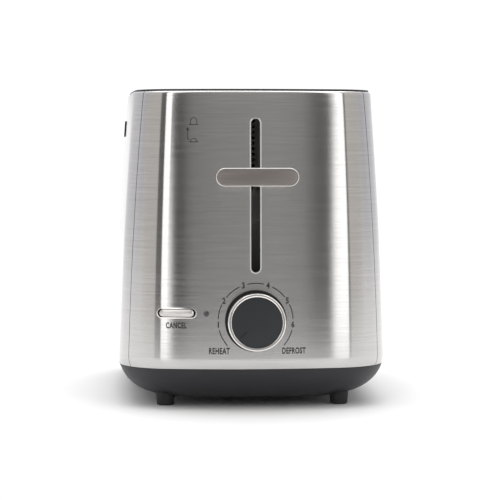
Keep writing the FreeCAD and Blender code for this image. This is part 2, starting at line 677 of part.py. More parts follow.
def make_carriage_stand():
    """Rods, their two brackets, the holding magnet and the top anchor of the spring."""
    depth = CARRIAGE_HALF_DEPTH
    rear = FRONT_WALL - WALL_SHEET / 2
    brackets = []
    for z, flange in ((ROD_LOW, 1), (ROD_HIGH - BRACKET_SHEET, -1)):
        shelf = box(-CARRIAGE_HALF_WIDTH, CARRIAGE_HALF_WIDTH, CARRIAGE_Y - depth, rear - 3, z, z + BRACKET_SHEET)
        neck = box(-11, 11, CARRIAGE_Y, rear, z, z + BRACKET_SHEET)
        flange_z = sorted((z + (0 if flange > 0 else BRACKET_SHEET), z + flange * 9))
        back = box(-11, 11, rear - BRACKET_SHEET, rear, flange_z[0], flange_z[1])
        holes = [cylinder(ROD_RADIUS, (x, CARRIAGE_Y, 0), (x, CARRIAGE_Y, 250)) for x in (-ROD_X, ROD_X)]
        brackets.append(fuse([shelf, neck, back]).cut(holes))
    rods = [cylinder(ROD_RADIUS, (x, CARRIAGE_Y, ROD_LOW), (x, CARRIAGE_Y, ROD_HIGH)) for x in (-ROD_X, ROD_X)]
    core_low = ROD_LOW + BRACKET_SHEET
    core_top = CARRIAGE_LOW - 2.5 - LEVER_DROP - 0.4
    yoke = box(-9, 9, CARRIAGE_Y - 5, CARRIAGE_Y + 4, core_low, core_low + 3)
    poles = [box(x - 1.9, x + 1.9, CARRIAGE_Y - 4, CARRIAGE_Y + 3, core_low + 3, core_top) for x in (-6, 6)]
    coils = [box(x - 4, x + 4, CARRIAGE_Y - 6, CARRIAGE_Y + 5, core_low + 3.2, core_top - 3).cut(poles)
             for x in (-6, 6)]
    return {"rod_brackets": Part.makeCompound(brackets), "guide_rods": Part.makeCompound(rods),
            "magnet_core": fuse([yoke] + poles), "magnet_coils": Part.makeCompound(coils)}


def make_spring():
    """Close-wound tension spring from the slider up to the top bracket."""
    low = CARRIAGE_HIGH + 2 * SPRING_WIRE
    high = ROD_HIGH - BRACKET_SHEET - 2 * SPRING_WIRE
    pitch = (high - low) / SPRING_TURNS
    helix = Part.makeHelix(pitch, pitch * SPRING_TURNS, SPRING_RADIUS)
    start = Part.Wire(Part.makeCircle(SPRING_WIRE, V(SPRING_RADIUS, 0, 0), V(0, 1, pitch / 20)))
    coil = Part.Wire(helix).makePipeShell([start], True, True)
    coil.translate(V(0, CARRIAGE_Y + 1, low))
    return {"return_spring": coil}


# Front controls -------------------------------------------------------------------

def shell_patch(prism, proud, depth, z):
    """The part of a prism that lies between two offsets of the shell's surface."""
    reach = 16
    skin = form(-proud, z - reach, z + reach).cut(form(depth, z - reach - 1, z + reach + 1))
    return skin.common(prism)


def make_slot_bezel():
    """Thin rim round the lever's slot, leaning with the panel."""
    middle = (LEVER_SLOT_LOW + LEVER_SLOT_HIGH) / 2
    half = (LEVER_SLOT_HIGH - LEVER_SLOT_LOW) / 2
    face = face_y(0, middle) - BEZEL_STAND_OFF
    wide = 2 * LEVER_SLOT_HALF
    rim = pill(0, middle, half + BEZEL_RIM, wide + 2 * BEZEL_RIM, face - BEZEL_PROUD, face, upright=True)
    sleeve = pill(0, middle, half + BEZEL_RIM / 2 - 0.1, wide + BEZEL_RIM - 0.2, face, face + BEZEL_DEPTH,
                  upright=True)
    hole = pill(0, middle, half, wide, face - 2, face + BEZEL_DEPTH + 1, upright=True)
    bezel = fuse([rim, sleeve]).cut(hole)
    lean = math.degrees(math.atan2(END_TAPER, SHELL_TOP - WAIST))
    return {"lever_slot_bezel": bezel.rotate(V(0, face, middle), V(1, 0, 0), -lean)}


def make_button():
    bezel_prism = button_prism(BUTTON_BEZEL_HALF, BUTTON_BEZEL_HEIGHT)
    hole = button_prism(BUTTON_HALF + BUTTON_GAP, BUTTON_HEIGHT + 2 * BUTTON_GAP)
    rim = shell_patch(bezel_prism, 0.6, -0.05, BUTTON_Z).cut(hole)
    sleeve_prism = button_prism(BUTTON_HALF + 1.0, BUTTON_HEIGHT + 1.4)
    sleeve = shell_patch(sleeve_prism, 0.2, 7.0, BUTTON_Z).cut(hole)
    cap = shell_patch(button_prism(BUTTON_HALF, BUTTON_HEIGHT), 1.2, 4.0, BUTTON_Z)
    face = face_y(BUTTON_X, BUTTON_Z)
    back = BOARD_Y - 3.6 - BUTTON_TRAVEL
    stem = cylinder(2.0, (BUTTON_X, face + 3, BUTTON_Z), (BUTTON_X, back, BUTTON_Z))
    stem = local_to_face(stem, BUTTON_X)
    return {"cancel_bezel": fuse([rim, sleeve]), "cancel_button": fuse([cap, stem])}


def make_indicator():
    lens = shell_patch(indicator_prism(INDICATOR_RADIUS), 0.5, -0.05, INDICATOR_Z)
    pipe = shell_patch(indicator_prism(INDICATOR_RADIUS - 0.35), 0.1, 8.0, INDICATOR_Z)
    tip = local_to_face(cylinder(1.5, (INDICATOR_X, BOARD_Y - 7, INDICATOR_Z), (INDICATOR_X, BOARD_Y, INDICATOR_Z)),
                        INDICATOR_X)
    lamp = tip.common(box(-BOARD_HALF, 0, -140, BOARD_Y, 0, 100))
    return {"indicator_lens": fuse([lens, pipe]), "indicator_led": lamp}


def make_knob():
    """Body with its skirt, bright ring and dark cap, all turning with the control's shaft."""
    def disc(radius, front, back):
        return cylinder(radius, (0, front, KNOB_Z), (0, back, KNOB_Z))

    shaft_front = KNOB_BACK - 9
    cap_back = KNOB_FRONT + KNOB_RIM_PROUD + KNOB_CAP
    shaft = disc(SHAFT_RADIUS, shaft_front, BOARD_Y - 8 - RUNNING_GAP)
    skirt = disc(KNOB_SKIRT_RADIUS, KNOB_SKIRT_FRONT, KNOB_BACK)
    ring = disc(KNOB_RADIUS, KNOB_FRONT, KNOB_SKIRT_FRONT)
    ring = ring.makeFillet(0.8, [e for e in ring.Edges if e.BoundBox.YMax < KNOB_FRONT + 0.01])
    ring = ring.cut(disc(KNOB_FACE_RADIUS, KNOB_FRONT - 1, KNOB_SKIRT_FRONT + 1))
    body = fuse([skirt, disc(KNOB_FACE_RADIUS, cap_back, KNOB_SKIRT_FRONT)]).cut(shaft)
    cap = disc(KNOB_FACE_RADIUS, KNOB_FRONT + KNOB_RIM_PROUD, cap_back)
    notch = box(-0.6, 0.6, KNOB_FRONT, KNOB_FRONT + KNOB_RIM_PROUD + 0.6, KNOB_Z + 9, KNOB_Z + 15)
    notch = notch.rotate(V(0, 0, KNOB_Z), V(0, 1, 0), POINTER_ANGLE)
    return {"knob_body": body, "knob_ring": ring, "knob_cap": cap.cut(notch), "control_shaft": shaft}


def make_electronics():
    """Plastic carrier behind the control panel, its board, and the browning control's case."""
    inner = form(SHEET + 0.05, 30, 100)
    carrier = box(-BOARD_HALF, BOARD_HALF, BOARD_Y - 2, BOARD_Y, BOARD_LOW, BOARD_HIGH)
    window = box(-BOARD_HALF + 5, BOARD_HALF - 5, BOARD_Y - 3, BOARD_Y + 1, BOARD_LOW + 5, BOARD_HIGH - 5)
    posts = [cylinder(3.5, (x, -150, z), (x, BOARD_Y - 1, z)).common(inner)
             for x in (-BOARD_HALF + 4, BOARD_HALF - 4) for z in (BOARD_LOW + 4, BOARD_HIGH - 4)]
    carrier = fuse([carrier.cut(window)] + posts)
    board = box(-BOARD_HALF, BOARD_HALF, BOARD_Y, BOARD_Y + BOARD_THICK, BOARD_LOW, BOARD_HIGH)
    case = cylinder(8, (0, BOARD_Y - 8, KNOB_Z), (0, BOARD_Y, KNOB_Z))
    neck = cylinder(SHAFT_RADIUS + 1.5, (0, BOARD_Y - 12, KNOB_Z), (0, BOARD_Y - 8, KNOB_Z))
    neck = neck.cut(cylinder(SHAFT_RADIUS + BUSH_CLEARANCE, (0, BOARD_Y - 13, KNOB_Z), (0, BOARD_Y - 8, KNOB_Z)))
    switch = box(BUTTON_X - 3, BUTTON_X + 3, BOARD_Y - 3.2, BOARD_Y, BUTTON_Z - 3, BUTTON_Z + 3)
    return {"control_carrier": carrier, "control_board": board,
            "browning_control": fuse([case, neck]), "cancel_switch": switch}


def make_power():
    """Power board on the front bulkhead, terminal block, cord inlet and mains leads."""
    board_back = FRONT_WALL - 8
    board = box(38, 70, board_back - BOARD_THICK, board_back, 46, 116)
    spacers = [cylinder(3, (x, board_back, z), (x, FRONT_WALL - WALL_SHEET / 2, z))
               for x in (42, 66) for z in (50, 112)]
    front = board_back - BOARD_THICK
    plunger_top = STRIKER_LOW - LEVER_DROP - RUNNING_GAP
    switch = fuse([box(39, 51, front - 11, front, 50, 66),
                   cylinder(1.5, (44, front - 7.7, 65), (44, front - 7.7, plunger_top))])
    wall = REAR_WALL + WALL_SHEET / 2
    block = box(24, 52, wall, wall + 12, 60, 74)
    clamps = [cylinder(2.2, (x, wall + 6, 74), (x, wall + 6, 76)) for x in (30, 38, 46)]
    face = half_length_at(GLAND_Z)
    flange = cylinder(GLAND_FLANGE_RADIUS, (GLAND_X, face - 1, GLAND_Z), (GLAND_X, face + 2, GLAND_Z))
    flange = flange.cut(form(-0.05, GLAND_Z - 20, GLAND_Z + 20))
    body = cylinder(GLAND_RADIUS, (GLAND_X, GLAND_BACK, GLAND_Z), (GLAND_X, face + 1, GLAND_Z))
    bore = cylinder(GLAND_BORE, (GLAND_X, GLAND_BACK - 1, GLAND_Z), (GLAND_X, face + 3, GLAND_Z))
    return {"power_board": board, "board_spacers": Part.makeCompound(spacers), "power_switch": switch,
            "terminal_block": fuse([block] + clamps), "mains_leads": make_leads(),
            "cord_gland": fuse([flange, body]).cut(bore)}


def make_leads():
    """Three leads along the right wall from the terminal block to the power board."""
    leads = []
    for index in range(3):
        z = 62 + 3.6 * index
        points = [V(52, 106, z), V(78, 106, z), V(78, -87, z), V(64, -87, z), V(64, -79.6, z)]
        leads.append(lead(points, 4.0))
    return Part.makeCompound(leads)


def lead(points, bend):
    """Round lead along straight runs joined by tangent arcs."""
    edges = []
    start = points[0]
    for before, corner, after in zip(points, points[1:], points[2:]):
        enter = corner + (before - corner).normalize() * bend
        leave = corner + (after - corner).normalize() * bend
        middle = (enter + leave) * 0.5
        half_turn = (before - corner).getAngle(after - corner) / 2
        radius = bend * math.tan(half_turn)
        centre = corner + (middle - corner).normalize() * (bend / math.cos(half_turn))
        crest = centre + (corner - centre).normalize() * radius
        edges.append(Part.LineSegment(start, enter).toShape())
        edges.append(Part.Arc(enter, crest, leave).toShape())
        start = leave
    edges.append(Part.LineSegment(start, points[-1]).toShape())
    path = Part.Wire(edges)
    ring = Part.Wire(Part.makeCircle(1.4, points[0], points[1] - points[0]))
    return path.makePipeShell([ring], True, False)


def main():
    os.makedirs("parts", exist_ok=True)
    pieces = {}
    for make in (make_panels, make_top, make_badge, make_base, make_feet, make_tray, make_base_screws,
                 make_bulkheads, make_heaters, make_guides, make_racks, make_carriage, make_lift_bridge,
                 make_lever, make_carriage_stand, make_spring, make_slot_bezel, make_button,
                 make_indicator, make_knob, make_electronics, make_power):
        pieces.update(make())
    for name, shape in pieces.items():
        moved = shape.copy()
        moved.translate(V(0, CENTRE_SHIFT, 0))
        moved.exportStep("parts/" + name + ".step")
    print(len(pieces), "nodes")


main()
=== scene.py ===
import bmesh
import bpy
import json
import math
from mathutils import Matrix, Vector


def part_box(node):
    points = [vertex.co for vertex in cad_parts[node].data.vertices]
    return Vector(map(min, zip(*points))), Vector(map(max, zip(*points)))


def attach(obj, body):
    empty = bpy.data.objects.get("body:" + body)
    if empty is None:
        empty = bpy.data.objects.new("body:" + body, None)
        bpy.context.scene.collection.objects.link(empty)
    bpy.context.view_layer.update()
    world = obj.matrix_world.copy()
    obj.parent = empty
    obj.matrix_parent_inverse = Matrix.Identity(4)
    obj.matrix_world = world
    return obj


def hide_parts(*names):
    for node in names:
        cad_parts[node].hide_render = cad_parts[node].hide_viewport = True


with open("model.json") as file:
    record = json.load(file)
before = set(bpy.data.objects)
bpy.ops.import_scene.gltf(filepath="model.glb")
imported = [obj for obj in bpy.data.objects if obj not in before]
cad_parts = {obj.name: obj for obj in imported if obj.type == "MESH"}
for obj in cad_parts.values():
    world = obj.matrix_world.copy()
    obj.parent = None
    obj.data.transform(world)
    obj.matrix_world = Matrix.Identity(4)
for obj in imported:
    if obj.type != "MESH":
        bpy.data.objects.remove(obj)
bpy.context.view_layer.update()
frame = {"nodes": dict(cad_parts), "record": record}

# Two-slot pop-up toaster. Shapes below are worked out in millimetres from the middle
# of the shell's footprint; mesh code turns them into metres in the frame.
MM = 0.001
base_low, base_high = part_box("base_housing")
CENTRE_Y = (base_low[1] + base_high[1]) / 2

# Outer form, as in the CAD model
SHELL_TOP = 211.5
TRIM_TOP = 212.5
SHELL_FOOT = 27.6
WAIST = 34.8
HALF_WIDTH = 93.7
HALF_LENGTH = 141.0
SIDE_TAPER = 10.0
END_TAPER = 4.0
SIDE_BULGE = 0.9
BASE_INSET = 34.0
BASE_DROP = 29.8
END_RADIUS = 300.0
CORNER_RADIUS = 40.0
CORNER_TAPER = 8.0
SIDE_RADIUS = 1500.0
TOP_EDGE = 2.0
SHEET = 0.8
TOP_LIP = 4.0
SEAM_Y = 118.4
SEAM_SPREAD = 2.2
SEAM_GAP = 0.4
INK_LIFT = 0.03          # printed marks stand this far off the panel

# Fineness of the meshes
END_STEPS = 60
CORNER_STEPS = 28
SIDE_STEPS = 36
PILL_STEPS = 14
LATHE_STEPS = 96


# Plan outline, by the direction its normal points ------------------------------------

def rise_share(z):
    return max(0.0, (z - WAIST) / (SHELL_TOP - WAIST))


def inset_at(z, skin):
    """How far a surface lying skin under the outer form is inside the waist outline."""
    if z >= WAIST:
        return skin
    share = min(1.0, (WAIST - z) / (BASE_DROP - skin))
    return BASE_INSET - (BASE_INSET - skin) * math.sqrt(1 - share * share)


class Section:
    """The outline at one height: end, corner and side arcs, each tangent to the next."""

    def __init__(self, z, skin=0.0):
        share = rise_share(z)
        swell = 4 * SIDE_BULGE * share * (1 - share) - inset_at(z, skin)
        self.z = z
        self.width = HALF_WIDTH - SIDE_TAPER * share + swell
        self.length = HALF_LENGTH - END_TAPER * share + swell
        self.end_radius = END_RADIUS - skin
        self.corner_radius = CORNER_RADIUS - CORNER_TAPER * share - skin
        self.side_radius = SIDE_RADIUS - skin
        self.end_centre = Vector((0, self.end_radius - self.length))
        self.side_centre = Vector((self.width - self.side_radius, 0))
        link = self.side_centre - self.end_centre
        reach = self.end_radius - self.corner_radius
        other = self.side_radius - self.corner_radius
        along = (reach ** 2 - other ** 2 + link.length ** 2) / (2 * link.length)
        across = math.sqrt(reach ** 2 - along ** 2)
        unit = link.normalized()
        self.corner = self.end_centre + unit * along + Vector((-unit.y, unit.x)) * across
        self.end_turn = self.turn_of(self.corner - self.end_centre)
        self.side_turn = self.turn_of(self.corner - self.side_centre)

    @staticmethod
    def turn_of(direction):
        return math.atan2(direction.x, -direction.y)

    def point(self, turn):
        """Point whose outward normal is turned from -Y towards +X by turn."""
        turn = math.atan2(math.sin(turn), math.cos(turn))
        side = -1 if turn < 0 else 1
        end = 1
        turn = abs(turn)
        if turn > math.pi / 2:
            turn = math.pi - turn
            end = -1
        if turn < self.end_turn:
            centre, radius = self.end_centre, self.end_radius
        elif turn < self.side_turn:
            centre, radius = self.corner, self.corner_radius
        else:
            centre, radius = self.side_centre, self.side_radius
        x = centre.x + radius * math.sin(turn)
        y = centre.y - radius * math.cos(turn)
        return (side * x, end * y, self.z)

    def seam_turn(self, offset):
        """Turn at which the outline meets the seam, moved towards the end by offset."""
        seam = SEAM_Y + SEAM_SPREAD * (self.z - WAIST) / (SHELL_TOP - WAIST) + offset
        return math.acos((self.corner.y + seam) / self.corner_radius)


def spread(start, stop, steps):
    return [start + (stop - start) * i / steps for i in range(steps + 1)]


def end_turns(section):
    """Turns across the end panel, seam to seam."""
    seam = section.seam_turn(SEAM_GAP / 2)
    turns = spread(-seam, -section.end_turn, CORNER_STEPS)
    turns += spread(-section.end_turn, section.end_turn, END_STEPS)[1:]
    return turns + spread(section.end_turn, seam, CORNER_STEPS)[1:]


def side_turns(section):
    """Turns along the right side panel, front seam to rear seam."""
    seam = section.seam_turn(-SEAM_GAP / 2)
    turns = spread(seam, section.side_turn, CORNER_STEPS // 2)
    turns += spread(section.side_turn, math.pi - section.side_turn, SIDE_STEPS)[1:]
    return turns + spread(math.pi - section.side_turn, math.pi - seam, CORNER_STEPS // 2)[1:]


def ring_turns(section):
    """Turns all the way round, without repeating the first."""
    quarter = spread(0, section.end_turn, END_STEPS // 2)
    quarter += spread(section.end_turn, section.side_turn, CORNER_STEPS)[1:]
    quarter += spread(section.side_turn, math.pi / 2, SIDE_STEPS // 2)[1:]
    half = quarter + [math.pi - turn for turn in reversed(quarter[:-1])]
    return half + [-turn for turn in reversed(half[1:-1])]


def face_y(x, z):
    """Depth of the control panel's face at a place on it."""
    section = Section(z)
    if abs(x) < section.end_radius * math.sin(section.end_turn):
        return section.end_centre.y - math.sqrt(section.end_radius ** 2 - x * x)
    return section.corner.y - math.sqrt(section.corner_radius ** 2 - (abs(x) - section.corner.x) ** 2)


# Mesh helpers -------------------------------------------------------------------------

def to_frame(point):
    return Vector((point[0] * MM, point[1] * MM + CENTRE_Y, point[2] * MM))


def new_object(name, mesh):
    piece = bpy.data.objects.new(name, mesh)
    bpy.context.scene.collection.objects.link(piece)
    return piece


def grid_piece(name, rows, closed_rows=False, closed_columns=False, cap_first=False, cap_last=False):
    """A mesh of quads through rows of points."""
    mesh = bpy.data.meshes.new(name)
    count = len(rows[0])
    points = [to_frame(point) for row in rows for point in row]
    faces = []
    for r in range(len(rows) if closed_columns else len(rows) - 1):
        below = r * count
        above = ((r + 1) % len(rows)) * count
        for c in range(count if closed_rows else count - 1):
            nxt = (c + 1) % count
            faces.append((below + c, below + nxt, above + nxt, above + c))
    if cap_first:
        faces.append(tuple(reversed(range(count))))
    if cap_last:
        last = (len(rows) - 1) * count
        faces.append(tuple(range(last, last + count)))
    mesh.from_pydata(points, [], faces)
    mesh.update()
    return new_object(name, mesh)


def settle(piece):
    """Applies a piece's modifiers to its mesh."""
    graph = bpy.context.evaluated_depsgraph_get()
    mesh = bpy.data.meshes.new_from_object(piece.evaluated_get(graph))
    piece.modifiers.clear()
    old = piece.data
    piece.data = mesh
    bpy.data.meshes.remove(old)


def thicken(piece, thickness):
    """Adds sheet thickness inwards."""
    solid = piece.modifiers.new("sheet", "SOLIDIFY")
    solid.thickness = thickness * MM
    solid.offset = -1
    solid.use_even_offset = True
    settle(piece)


def cut_away(piece, cutters):
    for cutter in cutters:
        hole = piece.modifiers.new("hole", "BOOLEAN")
        hole.operation = "DIFFERENCE"
        hole.solver = "EXACT"
        hole.object = cutter
        settle(piece)
        mesh = cutter.data
        bpy.data.objects.remove(cutter)
        bpy.data.meshes.remove(mesh)


def outward(piece):
    """Points every face of a closed mesh outwards."""
    work = bmesh.new()
    work.from_mesh(piece.data)
    bmesh.ops.recalc_face_normals(work, faces=work.faces)
    work.to_mesh(piece.data)
    work.free()


def soften(piece, width, segments=2, angle=35):
    """Rounds the sharp edges of a piece."""
    bevel = piece.modifiers.new("edges", "BEVEL")
    bevel.width = width * MM
    bevel.segments = segments
    bevel.limit_method = "ANGLE"
    bevel.angle_limit = math.radians(angle)
    bevel.harden_normals = False
    settle(piece)


def dress(piece, body, material, nodes=(), sharp=35):
    """Finishes a piece: smooth shading, material, body and the CAD nodes it stands for."""
    piece.data.materials.clear()
    piece.data.materials.append(material)
    for polygon in piece.data.polygons:
        polygon.use_smooth = True
    piece.data.set_sharp_from_angle(angle=math.radians(sharp))
    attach(piece, body)
    if nodes:
        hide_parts(*nodes)
    return piece


def pill_outline(centre_x, centre_z, half, radius, upright=False):
    """Points round a slot shape that lies along X, or along Z when upright."""
    reach = half - radius
    points = []
    for side in (1, -1):
        for angle in spread(-math.pi / 2, math.pi / 2, PILL_STEPS):
            along = side * (reach + radius * math.cos(angle))
            across = side * radius * math.sin(angle)
            if upright:
                points.append((centre_x - across, centre_z + along))
            else:
                points.append((centre_x + along, centre_z + across))
    return points


def pill_rows(centre_x, centre_z, half, radius, steps, upright=False, follow=True):
    """Rows of a pill: each step is (inset, height above the panel, or above y = 0)."""
    rows = []
    for inset, height in steps:
        outline = pill_outline(centre_x, centre_z, half - inset, radius - inset, upright)
        rows.append([(x, (face_y(x, z) if follow else 0.0) - height, z) for x, z in outline])
    return rows


def lathe_rows(centre_x, centre_z, profile):
    """Rows of a piece turned about an axis along Y: profile is (radius, y) pairs."""
    rows = []
    for radius, y in profile:
        rows.append([(centre_x + radius * math.sin(angle), y, centre_z + radius * math.cos(angle))
                     for angle in spread(0, 2 * math.pi, LATHE_STEPS)[:-1]])
    return rows


def arc_steps(centre, radius, start, stop, steps):
    """Points of a small arc in a profile, angles in degrees."""
    return [(centre[0] + radius * math.cos(math.radians(angle)),
             centre[1] + radius * math.sin(math.radians(angle))) for angle in spread(start, stop, steps)]


# Materials ----------------------------------------------------------------------------

class Finish:
    """A principled material with procedural variation in object space."""

    def __init__(self, name, colour, metallic, roughness, **settings):
        self.material = bpy.data.materials.new(name)
        self.material.use_nodes = True
        self.nodes = self.material.node_tree.nodes
        self.links = self.material.node_tree.links
        self.shader = self.nodes["Principled BSDF"]
        self.colour = colour
        self.roughness = roughness
        self.shader.inputs["Base Color"].default_value = (*colour, 1)
        self.shader.inputs["Metallic"].default_value = metallic
        self.shader.inputs["Roughness"].default_value = roughness
        for socket, value in settings.items():
            self.shader.inputs[socket.replace("_", " ")].default_value = value
        self.place = self.nodes.new("ShaderNodeTexCoord").outputs["Object"]
        self.bump_output = None

    def noise(self, scale, detail=3.0, rough=0.55):
        """Noise stretched by a scale per metre along each axis."""
        mapping = self.nodes.new("ShaderNodeMapping")
        mapping.inputs["Scale"].default_value = scale
        self.links.new(self.place, mapping.inputs["Vector"])
        noise = self.nodes.new("ShaderNodeTexNoise")
        noise.inputs["Scale"].default_value = 1.0
        noise.inputs["Detail"].default_value = detail
        noise.inputs["Roughness"].default_value = rough
        self.links.new(mapping.outputs["Vector"], noise.inputs["Vector"])
        return noise.outputs["Fac"]

    def remap(self, value, low, high, start=0.25, stop=0.75):
        ramp = self.nodes.new("ShaderNodeMapRange")
        ramp.inputs["From Min"].default_value = start
        ramp.inputs["From Max"].default_value = stop
        ramp.inputs["To Min"].default_value = low
        ramp.inputs["To Max"].default_value = high
        self.links.new(value, ramp.inputs["Value"])
        return ramp.outputs["Result"]

    def vary_roughness(self, scale, amount, **noise):
        value = self.remap(self.noise(scale, **noise), self.roughness - amount, self.roughness + amount)
        self.links.new(value, self.shader.inputs["Roughness"])
        return self

    def vary_colour(self, scale, amount, **noise):
        """Mixes between a darker and a lighter tone of the colour."""
        mix = self.nodes.new("ShaderNodeMix")
        mix.data_type = "RGBA"
        mix.inputs["A"].default_value = (*[c * (1 - amount) for c in self.colour], 1)
        mix.inputs["B"].default_value = (*[min(1.0, c * (1 + amount)) for c in self.colour], 1)
        self.links.new(self.remap(self.noise(scale, **noise), 0.0, 1.0), mix.inputs["Factor"])
        self.links.new(mix.outputs["Result"], self.shader.inputs["Base Color"])
        return self

    def bump(self, scale, depth, strength=1.0, **noise):
        """Relief depth in millimetres, added to any relief already there."""
        bump = self.nodes.new("ShaderNodeBump")
        bump.inputs["Strength"].default_value = strength
        bump.inputs["Distance"].default_value = depth * MM
        self.links.new(self.noise(scale, **noise), bump.inputs["Height"])
        if self.bump_output:
            self.links.new(self.bump_output, bump.inputs["Normal"])
        self.bump_output = bump.outputs["Normal"]
        self.links.new(self.bump_output, self.shader.inputs["Normal"])
        return self

    def grain_across(self):
        """Highlights spread across brushing that runs round the upright axis."""
        tangent = self.nodes.new("ShaderNodeTangent")
        tangent.direction_type = "RADIAL"
        tangent.axis = "Z"
        self.links.new(tangent.outputs["Tangent"], self.shader.inputs["Tangent"])
        return self


def brushed_shell():
    """Stainless sheet with fine horizontal brushing."""
    finish = Finish("brushed_stainless", (0.56, 0.55, 0.54), 1.0, 0.15, Anisotropic=0.98,
                    Anisotropic_Rotation=0.25)
    finish.vary_roughness((12, 12, 1400), 0.02, detail=4.0)
    finish.vary_colour((30, 30, 1700), 0.09, detail=3.0, rough=0.6)
    finish.bump((14, 14, 2600), 0.01, detail=2.0)
    return finish.grain_across().material


def brushed_deck():
    """Stainless sheet brushed along the slots."""
    finish = Finish("brushed_deck", (0.60, 0.59, 0.575), 1.0, 0.30)
    finish.vary_roughness((1400, 12, 12), 0.06, detail=4.0)
    finish.vary_colour((900, 9, 9), 0.06, detail=5.0, rough=0.65)
    finish.bump((2600, 14, 14), 0.012, detail=2.0)
    return finish.material


def bright_metal():
    """Polished chrome with faint waviness."""
    finish = Finish("polished_chrome", (0.83, 0.81, 0.79), 1.0, 0.10)
    finish.vary_roughness((300, 300, 300), 0.03)
    finish.bump((90, 90, 90), 0.01, detail=1.0)
    return finish.material


def lever_metal():
    finish = Finish("lever_brushed_face", (0.30, 0.27, 0.255), 1.0, 0.38)
    finish.vary_roughness((60, 60, 2200), 0.06, detail=4.0)
    finish.vary_colour((40, 40, 1800), 0.10, detail=4.0)
    finish.bump((60, 60, 3000), 0.012, detail=2.0)
    return finish.material


def moulded(name, colour, roughness, grain=0.02, grain_scale=2600, **settings):
    """Moulded plastic with a spark-eroded texture."""
    finish = Finish(name, colour, 0.0, roughness, **settings)
    finish.vary_roughness((40, 40, 40), 0.05)
    finish.vary_colour((25, 25, 25), 0.08)
    finish.bump((grain_scale, grain_scale, grain_scale), grain, detail=2.0)
    return finish.material


def metal_sheet(name, colour, roughness, grain=(30, 30, 600)):
    finish = Finish(name, colour, 1.0, roughness)
    finish.vary_roughness(grain, 0.08, detail=4.0)
    finish.vary_colour((35, 35, 35), 0.10, detail=4.0)
    finish.bump((400, 400, 400), 0.01)
    return finish.material


def ink():
    finish = Finish("printed_ink", (0.008, 0.008, 0.009), 0.0, 0.55)
    finish.vary_roughness((500, 500, 500), 0.08)
    finish.vary_colour((300, 300, 300), 0.2)
    return finish.material


def mica_sheet():
    finish = Finish("mica", (0.50, 0.42, 0.30), 0.0, 0.45, Coat_Weight=0.25)
    finish.vary_colour((60, 120, 120), 0.30, detail=6.0)
    finish.vary_roughness((200, 200, 200), 0.15)
    finish.bump((500, 500, 500), 0.05, detail=4.0)
    return finish.material


def smoked_lens():
    finish = Finish("smoked_lens", (0.06, 0.06, 0.065), 0.0, 0.22, Coat_Weight=0.4)
    finish.vary_colour((400, 400, 400), 0.15)
    finish.vary_roughness((500, 500, 500), 0.04)
    return finish.material


MATERIALS = {
    "brushed_steel": brushed_shell(),
    "polished_chrome": bright_metal(),
    "charcoal_plastic": moulded("charcoal_plastic", (0.013, 0.013, 0.016), 0.46),
    "black_plastic": moulded("black_plastic", (0.006, 0.006, 0.007), 0.50, grain=0.01,
                             Specular_IOR_Level=0.3),
    "knob_face": moulded("knob_face", (0.010, 0.012, 0.015), 0.50, grain=0.006, grain_scale=4000),
    "lever_face": lever_metal(),
    "rubber": moulded("rubber", (0.016, 0.016, 0.017), 0.70, grain=0.03, grain_scale=1500),
    "aluminised_sheet": metal_sheet("aluminised_sheet", (0.62, 0.62, 0.61), 0.42, grain=(60, 60, 60)),
    "bright_wire": metal_sheet("bright_wire", (0.62, 0.61, 0.60), 0.28),
    "mica": mica_sheet(),
    "resistance_ribbon": metal_sheet("resistance_ribbon", (0.26, 0.23, 0.22), 0.40, grain=(30, 400, 30)),
    "brass": metal_sheet("brass", (0.74, 0.56, 0.28), 0.30),
    # Spring steel is coloured near black, which is painted shade: the return spring seen through the lever
    # slot reads as the shaded inside of the toaster instead of lit steel.
    "spring_steel": metal_sheet("spring_steel", (0.09, 0.09, 0.095), 0.40, grain=(400, 400, 400)),
    "magnet_steel": metal_sheet("zinc_plated_steel", (0.50, 0.50, 0.52), 0.35),
    "copper_winding": metal_sheet("copper_winding", (0.60, 0.27, 0.14), 0.35, grain=(20, 20, 3000)),
    "circuit_board": moulded("circuit_board", (0.02, 0.12, 0.05), 0.35, grain=0.02, grain_scale=900),
    "switch_plastic": moulded("switch_plastic", (0.03, 0.03, 0.034), 0.35, grain=0.01),
    "terminal_plastic": moulded("terminal_plastic", (0.62, 0.60, 0.54), 0.40, grain=0.01),
    "lead_insulation": moulded("lead_insulation", (0.05, 0.05, 0.055), 0.55, grain=0.02),
    "lens": smoked_lens(),
    "screw_steel": metal_sheet("screw_steel", (0.48, 0.48, 0.49), 0.32),
}
DECK = brushed_deck()
INK = ink()
SATIN = metal_sheet("satin_chrome", (0.60, 0.58, 0.565), 0.30)


def dress_frame_nodes():
    """Gives every CAD node that stays visible the finish of its slot."""
    for entry in frame["record"]["subparts"]:
        node = frame["nodes"][entry["node"]]
        material = DECK if entry["node"] == "top_deck" else MATERIALS[entry["material_slot"]]
        for material_slot in node.material_slots:
            material_slot.material = material


# Shell ----------------------------------------------------------------------------------

def panel_profile():
    """(height, skin) pairs up a panel, from its curled foot to its inturned lip."""
    start = math.asin((WAIST - SHELL_FOOT) / BASE_DROP)
    pairs = [(WAIST - BASE_DROP * math.sin(angle), 0.0) for angle in spread(start, 0, 6)]
    pairs += [(z, 0.0) for z in spread(WAIST, SHELL_TOP - TOP_EDGE, 18)[1:]]
    pairs += [(SHELL_TOP - TOP_EDGE + z, TOP_EDGE - skin)
              for skin, z in arc_steps((0, 0), TOP_EDGE, 0, 90, 6)[1:]]
    return pairs + [(SHELL_TOP, TOP_LIP)]


def panel_rows(turns_of):
    rows = []
    for z, skin in panel_profile():
        section = Section(z, skin)
        rows.append([section.point(turn) for turn in turns_of(section)])
    return rows


def flipped(rows, x=1, y=1):
    """Rows mirrored in X or Y, with their order kept so that faces stay outwards."""
    order = slice(None, None, -1) if x * y < 0 else slice(None)
    return [[(x * p[0], y * p[1], p[2]) for p in row[order]] for row in rows]


